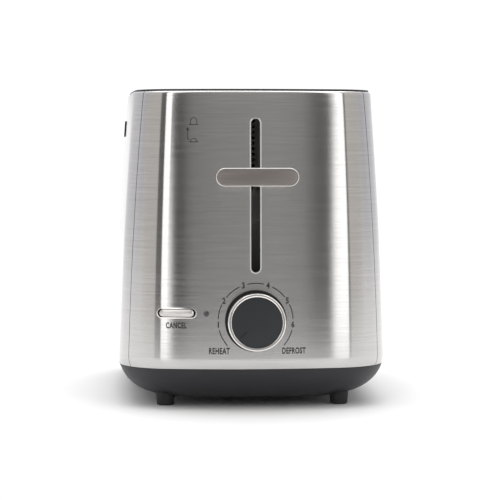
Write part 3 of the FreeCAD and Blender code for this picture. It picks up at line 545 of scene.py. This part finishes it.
def prism(name, outline, front, back):
    """Closed cutter along Y through an outline of (x, z) points."""
    rows = [[(x, y, z) for x, z in outline] for y in (front, back)]
    piece = grid_piece(name, rows, closed_rows=True, cap_first=True, cap_last=True)
    outward(piece)
    return piece


def ring_outline(centre_x, centre_z, radius, steps=48):
    return [(centre_x + radius * math.cos(angle), centre_z + radius * math.sin(angle))
            for angle in spread(0, 2 * math.pi, steps)[:-1]]


SLOT_LOW = 91.7
SLOT_HIGH = 192.8
SLOT_MIDDLE = (SLOT_LOW + SLOT_HIGH) / 2
SLOT_HALF = (SLOT_HIGH - SLOT_LOW) / 2
SLOT_RADIUS = 3.0
KNOB_Z = 59.7
BUTTON_X = -52.0
BUTTON_Z = 64.7
LENS_X = -32.5
LENS_Z = 64.4
GLAND_Z = 48.0
CUTTER_FRONT = -160.0    # far side of the cutters through the control panel


def make_shell():
    steel = MATERIALS["brushed_steel"]
    end_rows = panel_rows(end_turns)
    side_rows = panel_rows(side_turns)
    front = grid_piece("shell_front", end_rows)
    thicken(front, SHEET)
    cut_away(front, [
        prism("cut_lever", pill_outline(0, SLOT_MIDDLE, SLOT_HALF + 0.4, SLOT_RADIUS + 0.4, True),
              CUTTER_FRONT, -120),
        prism("cut_shaft", ring_outline(0, KNOB_Z, 4.0), CUTTER_FRONT, -120),
        prism("cut_button", pill_outline(BUTTON_X, BUTTON_Z, 12.8, 3.3), CUTTER_FRONT, -110),
        prism("cut_lens", ring_outline(LENS_X, LENS_Z, 1.6, 24), CUTTER_FRONT, -120)])
    dress(front, "housing", steel, ["front_panel"], sharp=25)
    rear = grid_piece("shell_rear", flipped(end_rows, y=-1))
    thicken(rear, SHEET)
    cut_away(rear, [prism("cut_gland", ring_outline(0, GLAND_Z, 8.0), 120, 160)])
    dress(rear, "housing", steel, ["rear_panel"], sharp=25)
    for name, rows in (("right", side_rows), ("left", flipped(side_rows, x=-1))):
        side = grid_piece("shell_" + name, rows)
        thicken(side, SHEET)
        strips = seam_strips(name, -1 if name == "left" else 1)
        dress(side, "housing", steel, [name + "_side_panel"], sharp=25)
        for strip in strips:
            dress(strip, "housing", MATERIALS["aluminised_sheet"], sharp=25)


def seam_strips(name, side):
    """Backing strips behind the two seams of one side panel."""
    strips = []
    for end, end_name in ((1, "front"), (-1, "rear")):
        rows = []
        for z in spread(SHELL_FOOT + 6, SHELL_TOP - 6, 12):
            section = Section(z, SHEET + 0.02)
            turns = spread(section.seam_turn(6), section.seam_turn(-6), 8)
            points = [section.point(turn) for turn in turns]
            rows.append([(side * x, end * y, z) for x, y, z in points])
        strip = grid_piece("seam_strip_" + name + "_" + end_name, rows)
        if side * end < 0:
            strip.data.flip_normals()
        thicken(strip, SHEET)
        strips.append(strip)
    return strips


def make_trim():
    """Charcoal frame round the top: a rounded flange, a step down and a buried rail."""
    profile = [(TOP_LIP + 0.2, 206.0), (TOP_LIP + 0.2, SHELL_TOP), (1.5, SHELL_TOP)]
    profile += [(1.7 + 0.5 * math.cos(a), TRIM_TOP - 0.5 + 0.5 * math.sin(a))
                for a in spread(math.pi, math.pi / 2, 5)]
    profile += [(8.2 + 0.8 * math.sin(a), TRIM_TOP - 0.8 + 0.8 * math.cos(a))
                for a in spread(0, math.pi / 2, 6)]
    profile += [(9.0, 209.05), (TOP_LIP + 2.2, 209.05), (TOP_LIP + 2.2, 206.0)]
    base = Section(SHELL_TOP)
    rows = []
    for skin, z in profile:
        section = Section(SHELL_TOP, skin)
        rows.append([(x, y, z) for x, y, _ in (section.point(turn) for turn in ring_turns(base))])
    trim = grid_piece("top_frame", rows, closed_rows=True, closed_columns=True)
    outward(trim)
    dress(trim, "housing", MATERIALS["charcoal_plastic"], ["top_trim"], sharp=40)


# Base -----------------------------------------------------------------------------------

TUB_WALL = 2.4
VENTS = 8
VENT_FIRST_Y = -56
VENT_PITCH = 16
VENT_HALF = 34
SCREW_X = 70
SCREW_YS = (-76, 106)
SCREW_HOLE = 3.4


def make_base():
    start = math.asin((WAIST - SHELL_FOOT) / BASE_DROP)
    levels = [(SHELL_FOOT - 0.05, 0.9), (SHELL_FOOT - 0.15, 0.45)]
    levels += [(WAIST - BASE_DROP * math.sin(angle), 0.0)
               for angle in spread(start + 0.012, math.pi / 2, 26)]
    rows = []
    for z, extra in levels:
        section = Section(z)
        trimmed = Section(z, extra) if extra else section
        rows.append([trimmed.point(turn) for turn in ring_turns(section)])
    bottom = Section(WAIST - BASE_DROP)
    for share in (0.7, 0.35):
        rows.append([(x * share, y * share, z) for x, y, z in
                     (bottom.point(turn) for turn in ring_turns(bottom))])
    tub = grid_piece("base_tub", rows, closed_rows=True, cap_last=True)
    tub.data.flip_normals()
    thicken(tub, TUB_WALL)
    cutters = [block("cut_tray", (-61, 61), (100, 170), (12.6, 24.6))]
    for row in range(VENTS):
        y = VENT_FIRST_Y + VENT_PITCH * row
        cutters.append(block("cut_vent", (-VENT_HALF, VENT_HALF), (y - 2, y + 2), (0, 9)))
    for x in (-SCREW_X, SCREW_X):
        for y in SCREW_YS:
            cutters.append(upright_drum("cut_screw", x, y, SCREW_HOLE, 0, 14))
    cut_away(tub, cutters)
    dress(tub, "housing", MATERIALS["charcoal_plastic"], ["base_housing"], sharp=30)


def block(name, xs, ys, zs):
    rows = [[(xs[0], ys[0], z), (xs[1], ys[0], z), (xs[1], ys[1], z), (xs[0], ys[1], z)] for z in zs]
    piece = grid_piece(name, rows, closed_rows=True, cap_first=True, cap_last=True)
    outward(piece)
    return piece


def upright_drum(name, x, y, radius, low, high):
    rows = [[(x + radius * math.cos(a), y + radius * math.sin(a), z)
             for a in spread(0, 2 * math.pi, 32)[:-1]] for z in (low, high)]
    piece = grid_piece(name, rows, closed_rows=True, cap_first=True, cap_last=True)
    outward(piece)
    return piece


FOOT_X = 59
FOOT_Y = 105


def make_feet():
    names = (("foot_front_left", -FOOT_X, -FOOT_Y), ("foot_front_right", FOOT_X, -FOOT_Y),
             ("foot_rear_left", -FOOT_X, FOOT_Y), ("foot_rear_right", FOOT_X, FOOT_Y))
    profile = [(4.9, 0.0)]
    profile += [(4.9 + 1.0 * math.sin(a), 1.0 - 1.0 * math.cos(a)) for a in spread(0, math.pi / 2, 6)[1:]]
    profile += [(6.4, 7.0), (6.4, 12.0), (2.5, 12.0), (2.5, 14.0)]
    for name, x, y in names:
        rows = [[(x + r * math.cos(a), y + r * math.sin(a), z) for a in spread(0, 2 * math.pi, 48)[:-1]]
                for r, z in profile]
        foot = grid_piece("rubber_" + name, rows, closed_rows=True, cap_first=True, cap_last=True)
        outward(foot)
        dress(foot, "housing", MATERIALS["rubber"], [name])


# Top --------------------------------------------------------------------------------------

BREAD_SLOT_X = 30.0
COLLAR_HALF = 17.8
COLLAR_FRONT = -60.8
COLLAR_REAR = 90.8
COLLAR_CORNER = 5.0


def rounded_block(name, centre_x, skin, low, high):
    """Block of one bread slot with rounded corners, smaller all round by skin."""
    half = COLLAR_HALF - skin
    front = COLLAR_FRONT + skin
    rear = COLLAR_REAR - skin
    radius = COLLAR_CORNER - skin
    corners = ((half - radius, rear - radius, 0), (-half + radius, rear - radius, 90),
               (-half + radius, front + radius, 180), (half - radius, front + radius, 270))
    outline = []
    for x, y, start in corners:
        outline += [(centre_x + x + radius * math.cos(math.radians(a)),
                     y + radius * math.sin(math.radians(a))) for a in spread(start, start + 90, 10)]
    rows = [[(x, y, z) for x, y in outline] for z in (low, high)]
    piece = grid_piece(name, rows, closed_rows=True, cap_first=True, cap_last=True)
    outward(piece)
    return piece


def deck_plate(name, skin, low, high):
    section = Section(SHELL_TOP, skin)
    outline = [section.point(turn) for turn in ring_turns(section)]
    rows = [[(x, y, z) for x, y, _ in outline] for z in (low, high)]
    piece = grid_piece(name, rows, closed_rows=True, cap_first=True, cap_last=True)
    outward(piece)
    return piece


def make_deck():
    """Brushed deck: a thin plate whose slot edges turn down into collars."""
    deck = deck_plate("deck_sheet", 6.5, 203.0, 209.0)
    under = deck_plate("deck_under", 5.0, 200.0, 208.2)
    places = (-BREAD_SLOT_X, BREAD_SLOT_X)
    cut_away(under, [rounded_block("collar", x, 0.0, 199.0, 210.0) for x in places])
    cut_away(deck, [rounded_block("slot", x, SHEET, 190.0, 220.0) for x in places] + [under])
    soften(deck, 0.3, 3, 60)
    dress(deck, "housing", DECK, ["top_deck"], sharp=40)


# Badge ------------------------------------------------------------------------------------

BADGE_Z = 187.5
BADGE_HALF = 26.0
BADGE_TALL = 5.5
BADGE_CORNER = 1.5


def side_x(y, z):
    section = Section(z)
    return section.side_centre.x + math.sqrt(section.side_radius ** 2 - y * y)


def make_badge():
    """Blank plate that follows the left side."""
    rows = []
    for inset, height in ((0, 0.03), (0, 0.6), (0.12, 0.8), (0.4, 0.9), (2.5, 0.9), (5.2, 0.9)):
        half = BADGE_HALF - inset
        tall = BADGE_TALL - inset
        radius = max(0.2, BADGE_CORNER - inset)
        row = []
        for cy, cz, start in ((half - radius, tall - radius, 0), (-half + radius, tall - radius, 90),
                              (-half + radius, -tall + radius, 180), (half - radius, -tall + radius, 270)):
            corner = [(cy + radius * math.cos(math.radians(a)), cz + radius * math.sin(math.radians(a)))
                      for a in spread(start, start + 90, 6)]
            row += corner
            if start in (0, 180):
                row += [(cy - (1 if start == 0 else -1) * 2 * (half - radius) * share, corner[-1][1])
                        for share in spread(0, 1, 16)[1:-1]]
        rows.append([(-side_x(y, BADGE_Z + z) - height, y, BADGE_Z + z) for y, z in row])
    badge = grid_piece("badge_plate", rows, closed_rows=True, cap_first=True, cap_last=True)
    outward(badge)
    dress(badge, "housing", MATERIALS["black_plastic"], ["side_badge"])


# Controls ---------------------------------------------------------------------------------

def turned_rows(centre_x, centre_z, half, radius, steps):
    """Rows of a pill that stands square to the panel: each step is (inset, height)."""
    lean = math.asin(centre_x / END_RADIUS)
    rows = []
    for inset, height in steps:
        row = []
        for x, z in pill_outline(centre_x, centre_z, half - inset, radius - inset):
            row.append((x + height * math.sin(lean), face_y(x, z) - height * math.cos(lean), z))
        rows.append(row)
    return rows


LEVER_Z = 154.6
LEVER_HALF = 27.0
LEVER_RADIUS = 6.0


def make_lever():
    chrome = MATERIALS["polished_chrome"]
    steps = [(1.0, 144.0), (0.3, 144.3), (0.0, 145.0), (0.0, 159.2)]
    steps += [(0.45 - 0.45 * math.cos(a), 159.4 + 0.6 * math.sin(a)) for a in spread(0, math.pi / 2, 6)]
    steps += [(0.75, 159.95), (0.95, 159.6), (0.95, 158.8)]
    body = grid_piece("lever_shell", pill_rows(0, LEVER_Z, LEVER_HALF, LEVER_RADIUS, steps, follow=False),
                      closed_rows=True, cap_first=True, cap_last=True)
    outward(body)
    dress(body, "lift", chrome, ["lever_body"])
    steps = [(1.1, 158.82), (1.1, 159.45), (1.16, 159.57), (1.3, 159.62)]
    face = grid_piece("lever_plate", pill_rows(0, LEVER_Z, LEVER_HALF, LEVER_RADIUS, steps, follow=False),
                      closed_rows=True, cap_first=True, cap_last=True)
    outward(face)
    dress(face, "lift", MATERIALS["lever_face"], ["lever_face"])


def make_slot_bezel():
    """Thin bright rim round the lever's slot."""
    steps = [(0.0, -3.5), (0.0, 0.3), (-0.06, 0.44), (-0.2, 0.5), (-0.6, 0.5), (-0.74, 0.44), (-0.8, 0.3),
             (-0.8, 0.01), (-0.3, 0.01), (-0.3, -3.5)]
    rows = pill_rows(0, SLOT_MIDDLE, SLOT_HALF, SLOT_RADIUS, steps, upright=True)
    bezel = grid_piece("lever_slot_rim", rows, closed_rows=True, closed_columns=True)
    outward(bezel)
    dress(bezel, "housing", MATERIALS["polished_chrome"], ["lever_slot_bezel"])


def make_button():
    chrome = MATERIALS["polished_chrome"]
    rim_steps = [(0.75, -6.0), (0.75, 0.3), (0.7, 0.5), (0.6, 0.58), (0.3, 0.6), (0.08, 0.5), (0.0, 0.3),
                 (0.0, 0.05), (0.6, 0.05), (0.6, -6.0)]
    rim = grid_piece("cancel_rim", turned_rows(BUTTON_X, BUTTON_Z, 13.2, 3.6, rim_steps),
                     closed_rows=True, closed_columns=True)
    outward(rim)
    dress(rim, "housing", chrome, ["cancel_bezel"])
    steps = [(0.0, -3.6), (0.0, 0.35), (0.05, 0.5)]
    steps += [(2.35 * share, 0.5 + 0.7 * math.sin(share * math.pi / 2)) for share in spread(0.06, 1, 9)]
    cap = grid_piece("cancel_cap", turned_rows(BUTTON_X, BUTTON_Z, 11.3, 2.45, steps),
                     closed_rows=True, cap_first=True, cap_last=True)
    outward(cap)
    dress(cap, "button", SATIN, ["cancel_button"], sharp=50)
    lean = math.asin(BUTTON_X / END_RADIUS)
    face = face_y(BUTTON_X, BUTTON_Z)
    rows = []
    for depth in (3.5, 13.9):
        rows.append([(BUTTON_X - depth * math.sin(lean) + 2 * math.cos(a), face + depth * math.cos(lean),
                      BUTTON_Z + 2 * math.sin(a)) for a in spread(0, 2 * math.pi, 24)[:-1]])
    stem = grid_piece("cancel_stem", rows, closed_rows=True, cap_first=True, cap_last=True)
    outward(stem)
    soften(stem, 0.3, 2)
    dress(stem, "button", chrome)


def make_lens():
    steps = [(0.35, -6.0), (0.35, 0.02), (0.0, 0.02), (0.0, 0.2), (0.15, 0.36), (0.6, 0.48), (1.2, 0.54),
             (1.7, 0.56)]
    lens = grid_piece("indicator_dome", turned_rows(LENS_X, LENS_Z, 1.9, 1.9001, steps),
                      closed_rows=True, cap_first=True, cap_last=True)
    outward(lens)
    dress(lens, "housing", MATERIALS["lens"], ["indicator_lens"])


KNOB_FRONT = -156.0
POINTER = math.radians(-132)


def make_knob():
    # The black flange that shows as a dark ring round the chrome band is partly a real black skirt and
    # partly painted shade for the gap behind the knob.
    skirt_and_shade_ring = [(20.1, -141.2), (20.4, -141.5), (20.4, -142.7), (20.1, -143.0), (16.7, -143.0), (16.7, -153.8)]
    body = grid_piece("knob_core", lathe_rows(0, KNOB_Z, skirt_and_shade_ring),
                      closed_rows=True, cap_first=True, cap_last=True)
    outward(body)
    dress(body, "knob", MATERIALS["black_plastic"], ["knob_body"])
    ring = [(16.75, -143.02), (19.0, -143.02), (19.0, KNOB_FRONT + 0.8)]
    ring += [(18.2 + 0.8 * math.cos(a), KNOB_FRONT + 0.8 - 0.8 * math.sin(a))
             for a in spread(0, math.pi / 2, 8)[1:]]
    ring += [(17.1, KNOB_FRONT), (16.85, KNOB_FRONT + 0.1), (16.75, KNOB_FRONT + 0.35)]
    band = grid_piece("knob_band", lathe_rows(0, KNOB_Z, ring), closed_rows=True, closed_columns=True)
    outward(band)
    dress(band, "knob", MATERIALS["polished_chrome"], ["knob_ring"])
    cap = [(16.6, -153.85), (16.6, KNOB_FRONT + 0.75), (16.52, KNOB_FRONT + 0.57), (16.3, KNOB_FRONT + 0.5)]
    face = grid_piece("knob_dial", lathe_rows(0, KNOB_Z, cap),
                      closed_rows=True, cap_first=True, cap_last=True)
    outward(face)
    along = Vector((math.sin(POINTER), math.cos(POINTER)))
    across = Vector((along.y, -along.x))
    notch = []
    for reach, turn in ((14.4, 1), (9.6, -1)):
        for angle in spread(-math.pi / 2, math.pi / 2, 6):
            tip = along * (reach + turn * 0.6 * math.cos(angle)) + across * turn * 0.6 * math.sin(angle)
            notch.append((tip.x, KNOB_Z + tip.y))
    cut_away(face, [prism("cut_notch", notch, -158.0, KNOB_FRONT + 1.0)])
    dress(face, "knob", MATERIALS["knob_face"], ["knob_cap"])


# Printed marks ----------------------------------------------------------------------------

def ink_line(name, path, width, closed=False):
    """Flat printed line along (x, z) points, lying on the panel."""
    count = len(path)
    rows = []
    for i, point in enumerate(path):
        before = path[i - 1] if closed or i > 0 else point
        after = path[(i + 1) % count] if closed or i < count - 1 else point
        into = (Vector(point) - Vector(before)).normalized() if before is not point else None
        out = (Vector(after) - Vector(point)).normalized() if after is not point else None
        way = ((into or out) + (out or into)).normalized()
        stretch = 1 / max(0.5, way.dot(out or into))
        side = Vector((-way.y, way.x)) * stretch * width / 2
        row = []
        for sign, lift in ((-1, -0.05), (-1, INK_LIFT), (1, INK_LIFT), (1, -0.05)):
            x, z = Vector(point) + sign * side
            row.append((x, face_y(x, z) - lift, z))
        rows.append(row)
    line = grid_piece(name, rows, closed_rows=True, closed_columns=closed,
                      cap_first=not closed, cap_last=not closed)
    outward(line)
    return dress(line, "housing", INK)


def dial_point(angle, radius):
    turn = math.radians(angle)
    return (radius * math.sin(turn), KNOB_Z + radius * math.cos(turn))


def ink_text(name, words, centre_x, centre_z, height, squeeze=1.0, weight=0.0):
    """Plain lettering printed on the panel, centred on a place."""
    curve = bpy.data.curves.new(name, "FONT")
    curve.body = words
    curve.align_x = "CENTER"
    curve.size = 1.0
    curve.extrude = 0.01
    curve.offset = weight
    curve.space_character = 1.12
    curve.resolution_u = 3
    text = new_object(name, curve)
    graph = bpy.context.evaluated_depsgraph_get()
    mesh = bpy.data.meshes.new_from_object(text.evaluated_get(graph))
    bpy.data.objects.remove(text)
    bpy.data.curves.remove(curve)
    low = min(v.co.y for v in mesh.vertices)
    tall = max(v.co.y for v in mesh.vertices) - low
    middle = (max(v.co.x for v in mesh.vertices) + min(v.co.x for v in mesh.vertices)) / 2
    scale = height / tall
    for vertex in mesh.vertices:
        x = centre_x + (vertex.co.x - middle) * scale * squeeze
        z = centre_z + (vertex.co.y - low) * scale - height / 2
        lift = INK_LIFT if vertex.co.z > 0 else -0.05
        vertex.co = to_frame((x, face_y(x, z) - lift, z))
    work = bmesh.new()
    work.from_mesh(mesh)
    bmesh.ops.remove_doubles(work, verts=work.verts, dist=0.000002)
    bmesh.ops.recalc_face_normals(work, faces=work.faces)
    work.to_mesh(mesh)
    work.free()
    piece = new_object(name, mesh)
    return dress(piece, "housing", INK)


ARC_RADIUS = 24.8
ARC_END = 131.0
DIGIT_STEP = 38.4
DIGIT_ROOM = 6.5
LINE = 0.62
DIGIT_HEIGHT = 4.2
WORD_HEIGHT = 4.3
CANCEL_HEIGHT = 4.1
WORD_Z = 39.8
WORD_SQUEEZE = 0.62      # letters narrowed to this share of their own width
STROKE = 0.035           # letters thickened by this share of the type size


def make_dial():
    digits = [-2.5 * DIGIT_STEP + DIGIT_STEP * i for i in range(6)]
    edges = [-ARC_END]
    for angle in digits:
        room = DIGIT_ROOM + 2.0 * (abs(angle) > 90)
        edges += [angle - room, angle + room]
    edges.append(ARC_END)
    for i in range(0, len(edges), 2):
        arc = [dial_point(angle, ARC_RADIUS) for angle in spread(edges[i], edges[i + 1], 12)]
        ink_line("dial_arc_%d" % (i // 2 + 1), arc, LINE)
    for i, angle in enumerate(digits):
        x, z = dial_point(angle, ARC_RADIUS)
        ink_text("dial_digit_%d" % (i + 1), str(i + 1), x, z, DIGIT_HEIGHT, 0.80, STROKE)
    ink_text("word_reheat", "REHEAT", -24.0, WORD_Z, WORD_HEIGHT, WORD_SQUEEZE, STROKE)
    ink_text("word_defrost", "DEFROST", 25.4, WORD_Z, WORD_HEIGHT, WORD_SQUEEZE, STROKE)
    ink_text("word_cancel", "CANCEL", BUTTON_X - 0.3, 56.6, CANCEL_HEIGHT, WORD_SQUEEZE, STROKE)


def slice_path(centre_x, foot_z, width, height):
    """Outline of a slice of bread standing on its foot."""
    half = width / 2
    points = [(-half, 0.0), (-half, height * 0.6)]
    points += [(-half * 0.75 * math.cos(a), height * (0.7 + 0.3 * math.sin(a)))
               for a in spread(0, math.pi, 8)]
    points += [(half, height * 0.6), (half, 0.0)]
    return [(centre_x + x, foot_z + z) for x, z in points]


ICON_X = -40.6


def make_icons():
    """A slice raised above the toaster's top edge, an arrow, and a slice lowered behind it."""
    x = ICON_X
    ink_line("icon_raised_slice", slice_path(x, 189.2, 4.2, 4.6), 0.4)
    ink_line("icon_raised_edge", [(x - 3.1, 189.0), (x + 3.1, 189.0)], 0.5)
    ink_line("icon_lowered_slice", slice_path(x, 177.8, 3.8, 2.0), 0.4)
    ink_line("icon_lowered_edge", [(x - 3.1, 177.6), (x + 3.1, 177.6)], 0.5)
    ink_line("icon_arrow_stem", [(x - 2.6, 179.2), (x - 3.9, 179.6), (x - 3.9, 186.2)], 0.45)
    ink_line("icon_arrow_head", [(x - 4.6, 185.3), (x - 3.9, 186.9), (x - 3.2, 185.3)], 0.6)


# Smooth normals on the panels -------------------------------------------------------------

def form_normal(x, y, z):
    """Outward normal of the outer form at a point on it."""
    section = Section(z)
    plan = Vector((abs(x), -abs(y)))
    turn = section.turn_of(plan - section.end_centre)
    if turn > section.end_turn:
        turn = section.turn_of(plan - section.side_centre)
        if turn < section.side_turn:
            turn = section.turn_of(plan - section.corner)
    step = 0.05
    above = Vector(Section(z + step).point(turn))
    below = Vector(Section(z - step).point(turn))
    along = Vector((math.cos(turn), math.sin(turn), 0))
    normal = along.cross(above - below).normalized()
    return Vector((math.copysign(normal.x, x), math.copysign(normal.y, y), normal.z))


def true_normals(names):
    for name in names:
        mesh = bpy.data.objects[name].data
        normals = [corner.vector.copy() for corner in mesh.corner_normals]
        for polygon in mesh.polygons:
            for loop in polygon.loop_indices:
                place = mesh.vertices[mesh.loops[loop].vertex_index].co
                x, y, z = place.x / MM, (place.y - CENTRE_Y) / MM, place.z / MM
                if SHELL_FOOT + 0.3 < z < SHELL_TOP - TOP_EDGE - 0.1:
                    normal = form_normal(x, y, z)
                    if normal.dot(polygon.normal) > 0.97:
                        normals[loop] = normal
        mesh.normals_split_custom_set(normals)


# Studio -----------------------------------------------------------------------------------

def make_world():
    """Pale room that is brightest overhead and behind, with two bright panels in front."""
    world = bpy.data.worlds.new("studio")
    bpy.context.scene.world = world
    world.use_nodes = True
    nodes = world.node_tree.nodes
    links = world.node_tree.links
    coordinate = nodes.new("ShaderNodeTexCoord")
    split = nodes.new("ShaderNodeSeparateXYZ")
    links.new(coordinate.outputs["Generated"], split.inputs["Vector"])

    def math_node(kind, first, second=None):
        node = nodes.new("ShaderNodeMath")
        node.operation = kind
        for socket, value in zip(node.inputs, (first, second)):
            if value is None:
                continue
            if isinstance(value, (int, float)):
                socket.default_value = value
            else:
                links.new(value, socket)
        return node.outputs[0]

    # azimuth from the front, towards +X, as a share of a full turn
    front = math_node("MULTIPLY", split.outputs["Y"], -1.0)
    azimuth = math_node("ARCTAN2", split.outputs["X"], front)
    share = math_node("ADD", math_node("DIVIDE", azimuth, 2 * math.pi), 0.5)
    ramp = nodes.new("ShaderNodeValToRGB")
    ramp.color_ramp.interpolation = "LINEAR"
    elements = ramp.color_ramp.elements
    while len(elements) < len(WORLD_STOPS):
        elements.new(0.5)
    for element, (angle, level, tint) in zip(elements, WORLD_STOPS):
        element.position = angle / 360 + 0.5
        element.color = (*[level * part for part in TINTS[tint]], 1)
    links.new(share, ramp.inputs["Fac"])
    lift = math_node("MULTIPLY", math_node("POWER", math_node("MAXIMUM", split.outputs["Z"], 0.0), 2.0),
                     ZENITH)
    mix = nodes.new("ShaderNodeMix")
    mix.data_type = "RGBA"
    mix.blend_type = "ADD"
    mix.inputs["Factor"].default_value = 1.0
    links.new(ramp.outputs["Color"], mix.inputs["A"])
    combine = nodes.new("ShaderNodeCombineColor")
    for socket in combine.inputs:
        links.new(lift, socket)
    links.new(combine.outputs["Color"], mix.inputs["B"])
    links.new(mix.outputs["Result"], nodes["Background"].inputs["Color"])


TINTS = {"white": (1.0, 1.0, 1.0), "warm": (1.0, 0.97, 0.93), "grey": (1.0, 0.985, 0.97),
         "lavender": (0.95, 0.95, 1.0)}
# (azimuth in degrees, radiance, tint), from the back round by the left to the back again
WORLD_STOPS = (
    (-180, 1.05, "white"), (-168, 1.05, "white"), (-146, 0.88, "lavender"),
    (-106, 0.78, "lavender"), (-90, 0.66, "lavender"), (-84, 0.66, "warm"),
    (-48.0, 0.68, "warm"), (-46.5, 0.16, "warm"), (-34.5, 0.14, "warm"),
    (-33.8, 1.9, "white"), (-20.5, 1.9, "white"), (-19.8, 0.03, "grey"), (-17.8, 0.05, "grey"),
    (-14.5, 0.28, "grey"), (-6.0, 0.35, "grey"), (10.0, 0.38, "grey"), (17.5, 0.33, "grey"),
    (21.0, 0.16, "grey"), (25.8, 0.06, "grey"), (26.6, 1.9, "white"), (42.0, 1.9, "white"),
    (43.0, 0.18, "grey"), (46.0, 0.22, "warm"), (48.0, 0.70, "warm"), (80.0, 0.66, "warm"),
    (95, 0.66, "lavender"), (146, 0.95, "lavender"), (168, 1.05, "white"), (180, 1.05, "white"))
ZENITH = 0.6             # radiance added straight overhead


FLOOR_FRONT = -0.44
FLOOR_REACH = 3


def make_floor():
    finish = Finish("floor_paint", (0.92, 0.92, 0.92), 0.0, 0.9)
    finish.vary_roughness((3, 3, 3), 0.03)
    mesh = bpy.data.meshes.new("floor")
    corners = [(-FLOOR_REACH, FLOOR_FRONT, 0), (FLOOR_REACH, FLOOR_FRONT, 0),
               (FLOOR_REACH, FLOOR_REACH, 0), (-FLOOR_REACH, FLOOR_REACH, 0)]
    mesh.from_pydata(corners, [], [(0, 1, 2, 3)])
    floor = new_object("floor", mesh)
    mesh.materials.append(finish.material)


OVERHEAD = 24.0          # watts


def make_lights():
    lamp = bpy.data.lights.new("overhead", "AREA")
    lamp.shape = "RECTANGLE"
    lamp.size = 2.4
    lamp.size_y = 2.0
    lamp.energy = OVERHEAD
    light = bpy.data.objects.new("overhead", lamp)
    light.location = (0, 0.5, 2.2)
    bpy.context.scene.collection.objects.link(light)


CAMERA_DISTANCE = 1.4
CAMERA_TURN = math.radians(-3.37)
CAMERA_HEIGHT = 0.170
CAMERA_AIM = (0.0050, CENTRE_Y, 0.0994)


def make_camera():
    """Long lens a little left of centre, lower than the toaster's top."""
    camera_data = bpy.data.cameras.new("camera")
    camera_data.sensor_width = 36.0
    camera_data.lens = 137.94
    camera = bpy.data.objects.new("camera", camera_data)
    camera.location = (CAMERA_DISTANCE * math.sin(CAMERA_TURN),
                       CENTRE_Y - CAMERA_DISTANCE * math.cos(CAMERA_TURN), CAMERA_HEIGHT)
    camera.rotation_euler = (Vector(CAMERA_AIM) - camera.location).to_track_quat("-Z", "Y").to_euler()
    bpy.context.scene.collection.objects.link(camera)
    bpy.context.scene.camera = camera


dress_frame_nodes()
make_shell()
make_trim()
make_base()
make_feet()
make_deck()
make_badge()
make_lever()
make_slot_bezel()
make_button()
make_lens()
make_knob()
make_dial()
make_icons()
true_normals(["shell_front", "shell_rear", "shell_left", "shell_right"])
make_world()
make_floor()
make_lights()
make_camera()

bpy.context.scene.view_settings.view_transform = "Standard"
